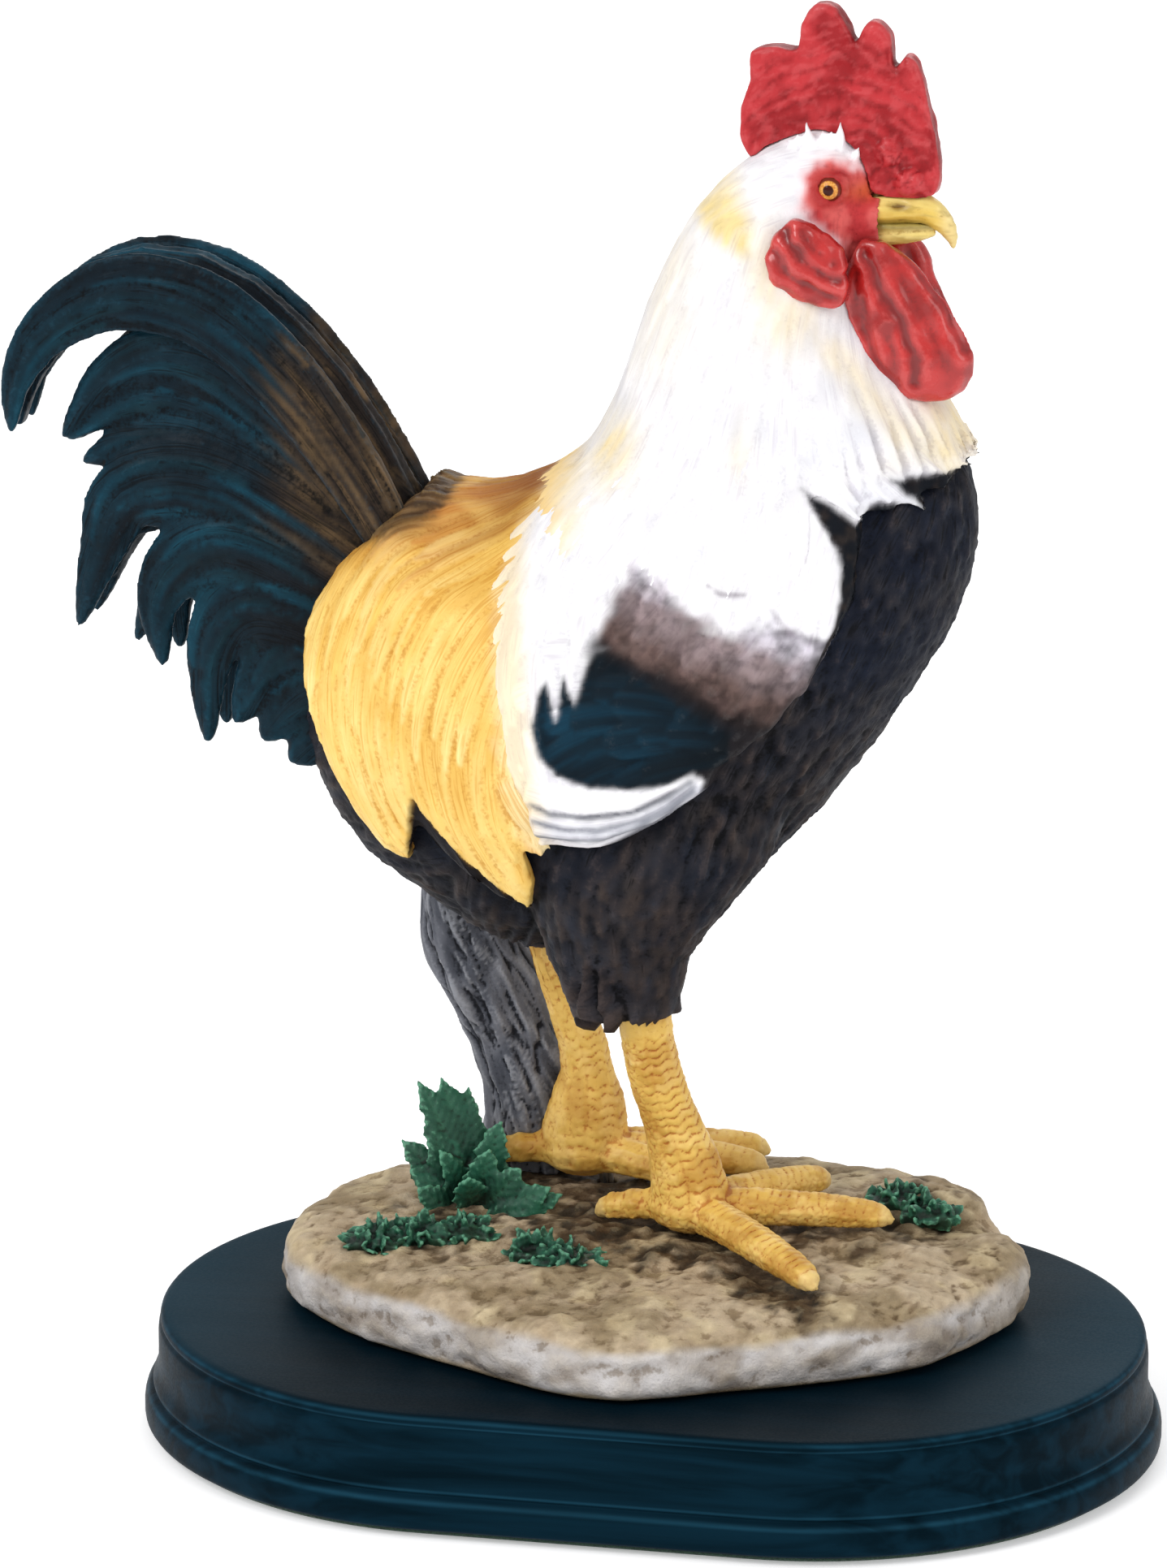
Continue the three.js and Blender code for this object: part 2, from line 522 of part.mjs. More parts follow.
// Rows: root, reach, width.
const TALL_LEAVES = [
  [[-38, 14, 37], [-9, 0, 22], 7.4], [[-38.5, 13, 37], [-10.5, -1, 11], 7.8],
  [[-37, 15, 37], [-0.5, 1, 21.4], 7.4], [[-36, 14, 37], [4, -1, 16], 7.6],
  [[-38, 13, 37], [-9, -4, 6.4], 7.4], [[-35, 10, 37], [7.4, -3, 9], 7.6],
  [[-34, 9, 37], [12, -2.4, 6.4], 7], [[-36, 11, 37], [0.6, -7, 6.4], 7.4],
  [[-33, 7, 37], [13, 2.2, 4.6], 6.4],
];
const tallLeaves = (grow) => joinAll([
  ellipsoid([-36, 12, 37.4], [5.4, 5, 3.4], grow, 8, 4),
  ...TALL_LEAVES.map(([root, reach, width]) => leaf(root, reach, width, grow, [0.2, -0.9, 0.4])),
]);

// Low tuft: small leaves fanned round cushions. Rows: x, y, half length, height of its middle.
const TUFTS = {
  moss_left: [[-50, -10, 6, 36.6], [-42, -6.5, 6.4, 37.4], [-34, -4.5, 6, 37.8]],
  moss_front: [[-19, -12, 5.8, 37.4], [-12, -14.5, 5.6, 37.4]],
  moss_right: [[43, 21, 5.8, 40.6], [49, 17, 6, 40]],
};
const TUFT_LEAVES = 3;
function tuft(mounds) {
  const parts = mounds.map(([x, y, r, z]) => ellipsoid([x, y, z], [r, r * 0.8, 3], 0, 8, 4));
  mounds.forEach(([x, y, r, z], m) => {
    for (let i = 0; i < TUFT_LEAVES; i += 1) {
      const angle = (2 * Math.PI * i) / TUFT_LEAVES + 0.7 * m + 0.3;
      const reach = r * (1.1 + 0.12 * Math.sin(3 * i + m));
      const rise = 2.6 + 1.2 * Math.sin(2 * i + m);
      parts.push(leaf([x, y, z + 1.6], [reach * Math.cos(angle), reach * 0.85 * Math.sin(angle), rise],
        5, 0));
    }
  });
  return joinAll(parts);
}

// Fitting piece to piece.
const screwSeats = screwPlaces.map((x) => screw(x, SEAM));
const tuftNames = Object.keys(TUFTS);
const groundBlank = groundCasting().add(lifted(rock));
// What stands on the ground is trimmed to its surface, one clearance above it.
const groundRaised = groundBlank.translate([0, 0, SEAM]);
const onGround = (body) => body.subtract(groundRaised);
const ground = cutAll(groundBlank, [...screwSeats, toPlace(wireRight(GAP)), toPlace(wireLeft(GAP))]);

const bodyCutters = [legRight(GAP), legLeft(GAP), wireRight(GAP), wireLeft(GAP), pinTail(GAP),
  pinNeck(GAP)];
const body = cutAll(flank(0), bodyCutters);
const headCutters = [trunk(GAP), beakUpper(GAP), beakLower(GAP), eye(-1, GAP), eye(1, GAP),
  pinNeck(GAP)];
const neckHead = cutAll(neck(0).intersect(cape(0)), headCutters);
const comb = cutAll(joinAll([combBlade, ...combBulges]), [neck(GAP), beakUpper(GAP)]);
const tailFan = cutAll(fan(0), [trunk(GAP), pinTail(GAP), sickle(-1, GAP), sickle(1, GAP)]);
const sickles = SIDES.map((side) => cutAll(sickle(side, 0), [trunk(GAP), pinTail(GAP)]));
const wattles = SIDES.map((side) => cutAll(wattle(side), [neck(GAP), beakLower(GAP)]));
const earlobes = SIDES.map((side) => earlobe(side).subtract(neck(GAP)));
const legs = [[legRight, wireRight], [legLeft, wireLeft]].map(
  ([shape, core]) => onGround(toPlace(shape(0).subtract(core(GAP)))));
const leafClump = cutAll(onGround(lifted(tallLeaves(0))), [toPlace(legLeft(GAP))]);
const tufts = tuftNames.map((name) => onGround(lifted(tuft(TUFTS[name]))));
const stumpBody = cutAll(onGround(lifted(stump(0))), [toPlace(flank(GAP)), toPlace(legLeft(GAP)),
  toPlace(saddleRoom), lifted(tallLeaves(GAP))]);

// Colours and assembly.
const COLOURS = {
  lacquer: { color: '#141a20', roughness: 0.35 },
  felt: { color: '#20362a', roughness: 0.95 },
  steel: { color: '#a8abad', roughness: 0.35, metalness: 1 },
  earth: { color: '#9c8a6c', roughness: 0.8 },
  driftwood: { color: '#5a5c62', roughness: 0.75 },
  leaf: { color: '#1f4a38', roughness: 0.6 },
  black: { color: '#1e1e22', roughness: 0.6 },
  white: { color: '#f4f1e6', roughness: 0.55 },
  red: { color: '#b82a2e', roughness: 0.4 },
  beak: { color: '#dcb85a', roughness: 0.45 },
  eye: { color: '#d98a1e', roughness: 0.12 },
  gold: { color: '#efb64a', roughness: 0.5 },
  teal: { color: '#0f2a36', roughness: 0.45 },
  leg: { color: '#e0a63a', roughness: 0.55 },
};

const part = new THREE.Group();
part.name = 'rooster_figurine';

function piece(name, body3, colour) {
  const mesh = new THREE.Mesh(toGeometry(body3), new THREE.MeshStandardMaterial(COLOURS[colour]));
  mesh.name = name;
  mesh.material.name = colour;
  part.add(mesh);
}

piece('felt_base', felt, 'felt');
piece('wood_stand', wood, 'lacquer');
piece('stand_screw_rear', screws[0], 'steel');
piece('stand_screw_front', screws[1], 'steel');
piece('ground_casting', ground, 'earth');
piece('stump', stumpBody, 'driftwood');
piece('leaf_clump', leafClump, 'leaf');
tuftNames.forEach((name, i) => piece(name, tufts[i], 'leaf'));
piece('leg_wire_right', toPlace(wireRight(0)), 'steel');
piece('leg_wire_left', toPlace(wireLeft(0)), 'steel');
piece('leg_right', legs[0], 'leg');
piece('leg_left', legs[1], 'leg');
piece('body', toPlace(body), 'black');
piece('tail_pin', toPlace(pinTail(0)), 'steel');
piece('neck_pin', toPlace(pinNeck(0)), 'steel');
piece('tail_fan', toPlace(tailFan), 'teal');
piece('sickle_right', toPlace(sickles[0]), 'teal');
piece('sickle_left', toPlace(sickles[1]), 'teal');
piece('saddle_right', toPlace(saddles[0]), 'gold');
piece('saddle_left', toPlace(saddles[1]), 'gold');
piece('wing_right', toPlace(wings[0]), 'white');
piece('wing_left', toPlace(wings[1]), 'white');
piece('neck_head', toPlace(neckHead), 'white');
piece('comb', toPlace(comb), 'red');
piece('earlobe_right', toPlace(earlobes[0]), 'red');
piece('earlobe_left', toPlace(earlobes[1]), 'red');
piece('wattle_right', toPlace(wattles[0]), 'red');
piece('wattle_left', toPlace(wattles[1]), 'red');
piece('beak_upper', toPlace(beakUpper(0)), 'beak');
piece('beak_lower', toPlace(beakLower(0)), 'beak');
piece('eye_right', toPlace(eye(-1, 0)), 'eye');
piece('eye_left', toPlace(eye(1, 0)), 'eye');

export default part;
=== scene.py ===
import math

import bpy
import numpy as np
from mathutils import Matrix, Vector, noise
from mathutils.bvhtree import BVHTree


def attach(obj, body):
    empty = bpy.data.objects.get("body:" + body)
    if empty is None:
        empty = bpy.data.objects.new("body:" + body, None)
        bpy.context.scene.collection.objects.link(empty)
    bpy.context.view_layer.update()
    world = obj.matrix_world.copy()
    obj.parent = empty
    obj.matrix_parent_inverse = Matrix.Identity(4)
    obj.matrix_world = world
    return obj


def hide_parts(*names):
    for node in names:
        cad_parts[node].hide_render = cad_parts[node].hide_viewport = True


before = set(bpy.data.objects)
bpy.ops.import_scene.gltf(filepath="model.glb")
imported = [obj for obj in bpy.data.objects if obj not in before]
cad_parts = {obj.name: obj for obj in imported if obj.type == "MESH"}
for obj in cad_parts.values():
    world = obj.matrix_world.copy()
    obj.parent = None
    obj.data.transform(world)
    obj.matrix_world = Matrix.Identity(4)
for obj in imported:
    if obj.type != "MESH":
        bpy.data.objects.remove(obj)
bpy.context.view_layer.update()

# Camera: the figurine is photographed from its right side, turned 12 degrees toward the tail and
# seen from 16 degrees above, from about 1.4 m with a long lens.
AIM = Vector((-0.01286, 0, 0.12331))
AZIMUTH, ELEVATION, DISTANCE = math.radians(11.92), math.radians(16.04), 1.4
away = Vector((
    math.sin(AZIMUTH) * math.cos(ELEVATION), -math.cos(AZIMUTH) * math.cos(ELEVATION), math.sin(ELEVATION)
))
camera = bpy.data.objects.new("camera", bpy.data.cameras.new("camera"))
camera.location = AIM + DISTANCE * away
camera.rotation_euler = away.to_track_quat("Z", "Y").to_euler()
camera.data.sensor_width = 36
camera.data.lens = 176.38
camera.data.clip_start = 0.05
bpy.context.collection.objects.link(camera)
bpy.context.scene.camera = camera


# Floor and light: a seamless white table in an even white room, with one large soft light high
# on the left, a weaker one on the right and one behind that lights the edges.
def add(tree, kind, settings=None, inputs=None, **links):
    """One node: settings are its own values, inputs its sockets' values, links what feeds it."""
    node = tree.nodes.new(kind)
    for key, value in (settings or {}).items():
        setattr(node, key, value)
    for key, value in (inputs or {}).items():
        node.inputs[key].default_value = value
    for key, source in links.items():
        name = key.replace("_", " ")
        tree.links.new(source, node.inputs[int(key[1:]) if key[0] == "_" else name])
    return node


def linear(code, alpha=1.0):
    """sRGB hex colour to linear values."""
    parts = [int(code[i : i + 2], 16) / 255 for i in (1, 3, 5)]
    return tuple(p / 12.92 if p <= 0.04045 else ((p + 0.055) / 1.055) ** 2.4 for p in parts) + (alpha,)


def mixed(tree, factor, a, b, mode="MIX"):
    """Colour mix; a and b are colours or sockets, factor a number or socket."""
    node = tree.nodes.new("ShaderNodeMix")
    node.data_type = "RGBA"
    node.blend_type = mode
    for socket, value in ((node.inputs[0], factor), (node.inputs[6], a), (node.inputs[7], b)):
        if isinstance(value, bpy.types.NodeSocket):
            tree.links.new(value, socket)
        else:
            socket.default_value = value
    return node.outputs[2]


def span(tree, value, low, high, to_low=0.0, to_high=1.0):
    """Value from low to high spread smoothly over to_low to to_high."""
    node = add(tree, "ShaderNodeMapRange", {"interpolation_type": "SMOOTHSTEP"}, {1: low, 2: high, 3: to_low, 4: to_high})
    tree.links.new(value, node.inputs[0])
    return node.outputs[0]


def math_node(tree, operation, a, b=0.0):
    node = add(tree, "ShaderNodeMath", {"operation": operation})
    for socket, value in zip(node.inputs, (a, b)):
        if isinstance(value, bpy.types.NodeSocket):
            tree.links.new(value, socket)
        else:
            socket.default_value = value
    return node.outputs[0]


def new_material(name):
    material = bpy.data.materials.new(name)
    material.use_nodes = True
    tree = material.node_tree
    return material, tree, tree.nodes["Principled BSDF"]


def white_paper():
    material, tree, shader = new_material("white_paper")
    place = add(tree, "ShaderNodeTexCoord").outputs["Object"]
    tooth = add(tree, "ShaderNodeTexNoise", inputs={"Scale": 900, "Detail": 4}, Vector=place)
    shade = mixed(tree, tooth.outputs[0], linear("#f6f6f7"), linear("#fbfbfb"))
    tree.links.new(shade, shader.inputs["Base Color"])
    shader.inputs["Roughness"].default_value = 0.9
    shader.inputs["Specular IOR Level"].default_value = 0.1
    tree.links.new(shade, shader.inputs["Emission Color"])
    shader.inputs["Emission Strength"].default_value = 0.34
    return material


bpy.ops.mesh.primitive_grid_add(x_subdivisions=8, y_subdivisions=8, size=14, location=(0, 3, -0.0004))
floor = bpy.context.object
floor.name = "floor"
floor.data.materials.append(white_paper())

world = bpy.data.worlds.new("room")
bpy.context.scene.world = world
world.use_nodes = True
sky = world.node_tree
seen = add(sky, "ShaderNodeLightPath").outputs["Is Camera Ray"]
power = span(sky, seen, 0, 1, 0.66, 1.0)
room = sky.nodes["Background"]
room.inputs["Color"].default_value = (1, 1, 1, 1)
sky.links.new(power, room.inputs["Strength"])
for label, place, size, watts in (
    ("key_light", (-0.75, -1.15, 1.25), 0.9, 15),
    ("side_light", (1.2, -0.6, 0.7), 0.8, 4),
    ("back_light", (0.1, 1.3, 1.1), 0.9, 5),
):
    lamp = bpy.data.lights.new(label, "AREA")
    lamp.energy, lamp.size = watts, size
    holder = bpy.data.objects.new(label, lamp)
    holder.location = place
    holder.rotation_euler = (Vector(place) - Vector((0, 0, 0.12))).to_track_quat("Z", "Y").to_euler()
    bpy.context.collection.objects.link(holder)
bpy.context.scene.view_settings.view_transform = "Standard"
bpy.context.scene.view_settings.look = "None"


# Stand: a board with half-round ends, shaped on a router with a bead at the foot, a cove and a
# small bead under the top edge, stained black and sprayed with satin lacquer, with a painted
# reflection at the ends of the top and painted highlights along the beads and edges.
STRAIGHT = 30.0
MOULDING = (
    (58.0, 1.3), (64.2, 1.3), (64.7, 1.45), (65.0, 1.9), (65.1, 2.6), (65.1, 4.4), (65.0, 5.2),
    (64.7, 6.2), (64.2, 7.0), (63.6, 7.45), (63.2, 7.55), (63.15, 7.9), (63.4, 8.1), (63.5, 8.5),
    (63.35, 9.1), (62.95, 9.9), (62.6, 10.9), (62.45, 12.0), (62.4, 14.0), (62.4, 17.6), (62.3, 18.8),
    (62.15, 19.4), (61.75, 19.75), (61.7, 20.05), (61.95, 20.25), (62.0, 20.6), (61.85, 21.2),
    (61.5, 21.65), (60.9, 21.92), (60.0, 22.0), (57.0, 22.0), (48.0, 22.0), (30.0, 22.0), (8.0, 22.0),
)


def stadium(radius, z, segments=64):
    ring = []
    for end in (1, -1):
        for i in range(segments + 1):
            angle = end * -math.pi / 2 + math.pi * i / segments if end > 0 else math.pi / 2 + math.pi * i / segments
            ring.append((end * STRAIGHT + radius * math.cos(angle), radius * math.sin(angle), z))
    return ring


def loop_skin(rings, close_first=True, close_last=True):
    count = len(rings[0])
    points = [p for ring in rings for p in ring]
    faces = [
        (r * count + s, r * count + (s + 1) % count, (r + 1) * count + (s + 1) % count, (r + 1) * count + s)
        for r in range(len(rings) - 1)
        for s in range(count)
    ]
    if close_first:
        faces.append(tuple(range(count - 1, -1, -1)))
    if close_last:
        faces.append(tuple((len(rings) - 1) * count + s for s in range(count)))
    return points, faces


def place_mesh(name, points, faces, material, slot, nodes):
    """Mesh given in millimetres, riding on the figurine in place of frame nodes."""
    mesh = bpy.data.meshes.new(name)
    mesh.from_pydata((np.asarray(points, float) / 1000).tolist(), [], faces)
    mesh.shade_smooth()
    mesh.materials.append(material)
    piece = bpy.data.objects.new(name, mesh)
    bpy.context.collection.objects.link(piece)
    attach(piece, "root")
    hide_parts(*nodes)
    return piece


def black_lacquer():
    material, tree, shader = new_material("black_lacquered_wood")
    place = add(tree, "ShaderNodeTexCoord").outputs["Object"]
    along = add(tree, "ShaderNodeMapping", inputs={"Scale": (18, 260, 260)}, Vector=place)
    grain = add(tree, "ShaderNodeTexNoise", inputs={"Scale": 1, "Detail": 5, "Distortion": 0.6}, Vector=along.outputs[0])
    cloud = add(tree, "ShaderNodeTexNoise", inputs={"Scale": 22, "Detail": 3}, Vector=place)
    dust = add(tree, "ShaderNodeTexNoise", inputs={"Scale": 1900, "Detail": 2}, Vector=place)
    stain = mixed(tree, span(tree, grain.outputs[0], 0.3, 0.7), linear("#05131b"), linear("#0a2330"))
    height = add(tree, "ShaderNodeSeparateXYZ")
    tree.links.new(place, height.inputs[0])
    # Painted highlight: thin lighter teal bands along the top edge, the small bead and the foot bead, broken up by the
    # grain.
    edge_highlight = span(tree, grain.outputs[0], 0.3, 0.7, 0.2, 0.5)
    flat = span(tree, height.outputs["Z"], 0.0216, 0.0219)
    # Painted reflection: the flat top turns lighter teal towards its two rounded ends, set by distance along the board.
    worn = span(tree, math_node(tree, "ABSOLUTE", height.outputs["X"]), 0.05, 0.095)
    top = mixed(tree, worn, linear("#04141d"), linear("#12313f"))
    stain = mixed(tree, math_node(tree, "MULTIPLY", flat, 0.8), stain, top)
    for middle, half in ((0.0214, 0.0005), (0.0203, 0.0004), (0.0084, 0.0005), (0.0066, 0.0007)):
        away = math_node(tree, "ABSOLUTE", math_node(tree, "SUBTRACT", height.outputs["Z"], middle))
        share = math_node(tree, "MULTIPLY", edge_highlight, span(tree, away, 0, half, 1, 0))
        stain = mixed(tree, share, stain, linear("#1f4a5e"))
    # Base colour: the black stain with its painted reflection and painted highlights.
    tree.links.new(stain, shader.inputs["Base Color"])
    gloss = math_node(tree, "ADD", span(tree, cloud.outputs[0], 0.3, 0.7, 0.36, 0.46), span(tree, dust.outputs[0], 0.3, 0.7, -0.03, 0.05))
    tree.links.new(gloss, shader.inputs["Roughness"])
    shader.inputs["Specular IOR Level"].default_value = 0.035
    shader.inputs["Specular Tint"].default_value = linear("#6fb3cc")
    ripple = add(tree, "ShaderNodeBump", inputs={"Strength": 0.12, "Distance": 0.0002}, Height=grain.outputs[0])
    peel = add(tree, "ShaderNodeBump", inputs={"Strength": 0.1, "Distance": 0.0001}, Height=dust.outputs[0], Normal=ripple.outputs[0])
    tree.links.new(peel.outputs[0], shader.inputs["Normal"])
    return material


board = loop_skin([stadium(r, z) for r, z in MOULDING])
place_mesh("lacquered_stand", *board, black_lacquer(), "lacquered_wood", ["wood_stand"])


# Felt: one millimetre pressed wool felt, cut a little smaller than the board and glued under it.
def wool_felt():
    material, tree, shader = new_material("green_wool_felt")
    place = add(tree, "ShaderNodeTexCoord").outputs["Object"]
    fibre = add(tree, "ShaderNodeTexNoise", inputs={"Scale": 2600, "Detail": 6, "Distortion": 2.5}, Vector=place)
    tuft = add(tree, "ShaderNodeTexVoronoi", inputs={"Scale": 1400}, Vector=place)
    shade = mixed(tree, span(tree, fibre.outputs[0], 0.35, 0.65), linear("#16281f"), linear("#2c4a3a"))
    tree.links.new(shade, shader.inputs["Base Color"])
    shader.inputs["Roughness"].default_value = 0.95
    shader.inputs["Sheen Weight"].default_value = 0.4
    nap = add(tree, "ShaderNodeBump", inputs={"Strength": 0.5, "Distance": 0.0003}, Height=tuft.outputs[0])
    tree.links.new(nap.outputs[0], shader.inputs["Normal"])
    return material


pad_profile = ((30, 0.02), (60, 0), (62.6, 0.02), (62.86, 0.2), (62.9, 0.5), (62.86, 0.8), (62.6, 0.98), (60, 1), (30, 1))
pad = loop_skin([stadium(r, z) for r, z in pad_profile])
felt = place_mesh("felt_pad", *pad, wool_felt(), "felt", ["felt_base"])


# Screws, leg wires and joint pins: plain bright steel, drawn and cut to length, all hidden inside
# the castings and the board.
def drawn_steel():
    material, tree, shader = new_material("drawn_steel")
    place = add(tree, "ShaderNodeTexCoord").outputs["Object"]
    along = add(tree, "ShaderNodeMapping", inputs={"Scale": (4000, 4000, 60)}, Vector=place)
    lines = add(tree, "ShaderNodeTexNoise", inputs={"Scale": 1, "Detail": 3}, Vector=along.outputs[0])
    shade = mixed(tree, lines.outputs[0], linear("#8f9294"), linear("#bfc1c2"))
    tree.links.new(shade, shader.inputs["Base Color"])
    shader.inputs["Metallic"].default_value = 1
    tree.links.new(span(tree, lines.outputs[0], 0.3, 0.7, 0.25, 0.45), shader.inputs["Roughness"])
    return material


steel = drawn_steel()
for node in ("stand_screw_rear", "stand_screw_front", "leg_wire_right", "leg_wire_left", "tail_pin", "neck_pin"):
    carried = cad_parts[node]
    for i in range(len(carried.material_slots)):
        carried.material_slots[i].material = steel


# Ground: resin cast in a rubber mould, its rim modelled like layered stone and its top like trodden
# earth, painted tan over grey; the dark brown round the plants and feet is dark earth and also
# painted shade under them, and the foot of the casting is darkened with painted shade.
class Casting:
    """One cast surface of quads in millimetres, melted together from overlapping solids."""

    def __init__(self, solids, voxel):
        start, points, faces = 0, [], []
        for more, more_faces in solids:
            points.append(np.asarray(more, float))
            faces += [tuple(i + start for i in face) for face in more_faces]
            start += len(more)
        mesh = bpy.data.meshes.new("raw")
        mesh.from_pydata(np.concatenate(points).tolist(), [], faces)
        raw = bpy.data.objects.new("raw", mesh)
        bpy.context.collection.objects.link(raw)
        melt = raw.modifiers.new("melt", "REMESH")
        melt.mode, melt.voxel_size = "VOXEL", voxel
        bpy.context.view_layer.update()
        done = raw.evaluated_get(bpy.context.evaluated_depsgraph_get()).data
        self.points = np.empty(len(done.vertices) * 3)
        done.vertices.foreach_get("co", self.points)
        self.points = self.points.reshape(-1, 3)
        self.quads = np.empty(len(done.loops), int)
        done.loops.foreach_get("vertex_index", self.quads)
        self.quads = self.quads.reshape(-1, 4)
        bpy.data.objects.remove(raw)
        bpy.data.meshes.remove(mesh)
        pairs = np.sort(np.concatenate([self.quads[:, [k, (k + 1) % 4]] for k in range(4)]), axis=1)
        keys = np.unique(pairs[:, 0] * len(self.points) + pairs[:, 1])
        self.ends = (keys // len(self.points), keys % len(self.points))
        self.links = np.bincount(self.ends[0], minlength=len(self.points))
        self.links = self.links + np.bincount(self.ends[1], minlength=len(self.points))

    def around(self, values):
        """Mean over each point's neighbours."""
        a, b = self.ends
        columns = values.reshape(len(self.points), -1)
        total = np.stack([
            np.bincount(a, c[b], len(c)) + np.bincount(b, c[a], len(c)) for c in columns.T
        ], axis=1)
        return (total / self.links[:, None]).reshape(values.shape)

    def smooth(self, times=1):
        for _ in range(times):
            self.points = 0.5 * (self.points + self.around(self.points))

    def normals(self):
        corners = self.points[self.quads]
        across = np.cross(corners[:, 2] - corners[:, 0], corners[:, 3] - corners[:, 1])
        total = np.stack([
            sum(np.bincount(self.quads[:, k], across[:, axis], len(self.points)) for k in range(4))
            for axis in range(3)
        ], axis=1)
        return total / np.maximum(np.linalg.norm(total, axis=1, keepdims=True), 1e-9)

    def push(self, distance):
        self.points = self.points + self.normals() * np.asarray(distance).reshape(-1, 1)

    def raised(self, reach):
        """How far each point stands out of the surface averaged over some neighbours, -1 to 1."""
        level = self.points
        for _ in range(reach):
            level = self.around(level)
        relief = np.einsum("ij,ij->i", self.points - level, self.normals())
        return np.clip(relief / (2.2 * relief.std() + 1e-9), -1, 1)

    def make(self, name, material, slot, nodes, paint, relief, lane=None):
        if lane is not None:
            for _ in range(2):
                paint, relief = 0.5 * (paint + self.around(paint)), 0.5 * (relief + self.around(relief))
        piece = place_mesh(name, self.points, self.quads.tolist(), material, slot, nodes)
        tint = piece.data.attributes.new("paint", "FLOAT_COLOR", "POINT")
        tint.data.foreach_set("color", np.hstack([np.clip(paint, 0, 1), np.ones((len(paint), 1))]).ravel())
        piece.data.attributes.new("relief", "FLOAT", "POINT").data.foreach_set("value", relief)
        if lane is not None:
            piece.data.attributes.new("lane", "FLOAT_VECTOR", "POINT").data.foreach_set("vector", lane.ravel())
            seam = ramp(np.linalg.norm(lane - self.around(lane), axis=1), 0.45, 1.1)
            seam = np.maximum(seam, self.around(seam))
            piece.data.attributes.new("seam", "FLOAT", "POINT").data.foreach_set("value", seam)
        return piece


def solid_of(node, grow=0.0):
    """A frame solid's points in millimetres and its faces, swollen a little to close its seams."""
    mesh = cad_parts[node].data
    points = np.empty(len(mesh.vertices) * 3)
    mesh.vertices.foreach_get("co", points)
    points = points.reshape(-1, 3) * 1000
    if grow:
        points = points + grow * np.array([tuple(v.normal) for v in mesh.vertices])
    return points, [tuple(p.vertices) for p in mesh.polygons]


def rough(points, size, octaves=3, shift=0.0):
    """Fractal noise about zero; size in millimetres, one number or one per axis."""
    return np.array([noise.fractal(Vector(p), 1.0, 2.0, octaves) for p in points / size + shift])


def ramp(values, low, high):
    t = np.clip((np.asarray(values, float) - low) / (high - low), 0, 1)
    return t * t * (3 - 2 * t)


def colour(code):
    return np.array(linear(code)[:3])


def blend(a, b, share):
    share = np.asarray(share).reshape(-1, 1)
    return a * (1 - share) + b * share


def painted(name, sheen, wash, dry, fine=1.0, streak=None, coat=0.0, specular=0.35, cloud="#cfc8c2"):
    """Matt paint on resin. sheen is the roughness from worn to bare, wash the stain that lies
    in the grooves and dry what was brushed over the ridges, each a colour and an amount."""
    material, tree, shader = new_material(name)
    place = add(tree, "ShaderNodeTexCoord").outputs["Object"]
    paint = add(tree, "ShaderNodeAttribute", {"attribute_name": "paint"}).outputs["Color"]
    relief = add(tree, "ShaderNodeAttribute", {"attribute_name": "relief"}).outputs["Fac"]
    bristle = add(tree, "ShaderNodeTexNoise", inputs={"Scale": 1500, "Detail": 4}, Vector=place).outputs[0]
    blotch = add(tree, "ShaderNodeTexNoise", inputs={"Scale": 160, "Detail": 5}, Vector=place).outputs[0]
    speck = add(tree, "ShaderNodeTexNoise", inputs={"Scale": 4200, "Detail": 2}, Vector=place).outputs[0]
    low = math_node(tree, "ADD", relief, span(tree, bristle, 0.25, 0.75, -0.3, 0.3))
    shade = mixed(tree, span(tree, blotch, 0.3, 0.7, 0.0, 0.4), paint, mixed(tree, 1.0, paint, linear(cloud), "MULTIPLY"))
    if streak:
        lane = add(tree, "ShaderNodeAttribute", {"attribute_name": "lane"}).outputs["Vector"]
        flow = add(tree, "ShaderNodeMapping", inputs={"Scale": streak[0]}, Vector=lane).outputs[0]
        line = add(tree, "ShaderNodeTexNoise", inputs={"Scale": 1, "Detail": 3}, Vector=flow).outputs[0]
        seam = add(tree, "ShaderNodeAttribute", {"attribute_name": "seam"}).outputs["Fac"]
        calm = math_node(tree, "MULTIPLY", math_node(tree, "SUBTRACT", line, 0.5), math_node(tree, "SUBTRACT", 1.0, seam))
        line = math_node(tree, "ADD", calm, 0.5)
        shade = mixed(tree, span(tree, line, 0.56, 0.36, 0, streak[2]), shade, linear(streak[1]), "MULTIPLY")
    shade = mixed(tree, span(tree, low, 0.0, -0.75, 0, wash[1]), shade, linear(wash[0]), "MULTIPLY")
    shade = mixed(tree, span(tree, low, 0.3, 0.95, 0, dry[1]), shade, linear(dry[0]), "SCREEN")
    tree.links.new(shade, shader.inputs["Base Color"])
    tree.links.new(span(tree, math_node(tree, "ADD", blotch, math_node(tree, "MULTIPLY", relief, -0.3)), 0.2, 0.8, sheen[0], sheen[1]), shader.inputs["Roughness"])
    shader.inputs["Specular IOR Level"].default_value = specular
    if coat:
        shader.inputs["Coat Weight"].default_value = coat
        shader.inputs["Coat Roughness"].default_value = 0.12
    bump = add(tree, "ShaderNodeBump", inputs={"Strength": 0.35 * fine, "Distance": 0.0003}, Height=bristle)
    bump = add(tree, "ShaderNodeBump", inputs={"Strength": 0.3 * fine, "Distance": 0.0001}, Height=speck, Normal=bump.outputs[0])
    if streak:
        bump = add(tree, "ShaderNodeBump", inputs={"Strength": streak[3], "Distance": 0.0004}, Height=line, Normal=bump.outputs[0])
    tree.links.new(bump.outputs[0], shader.inputs["Normal"])
    return material


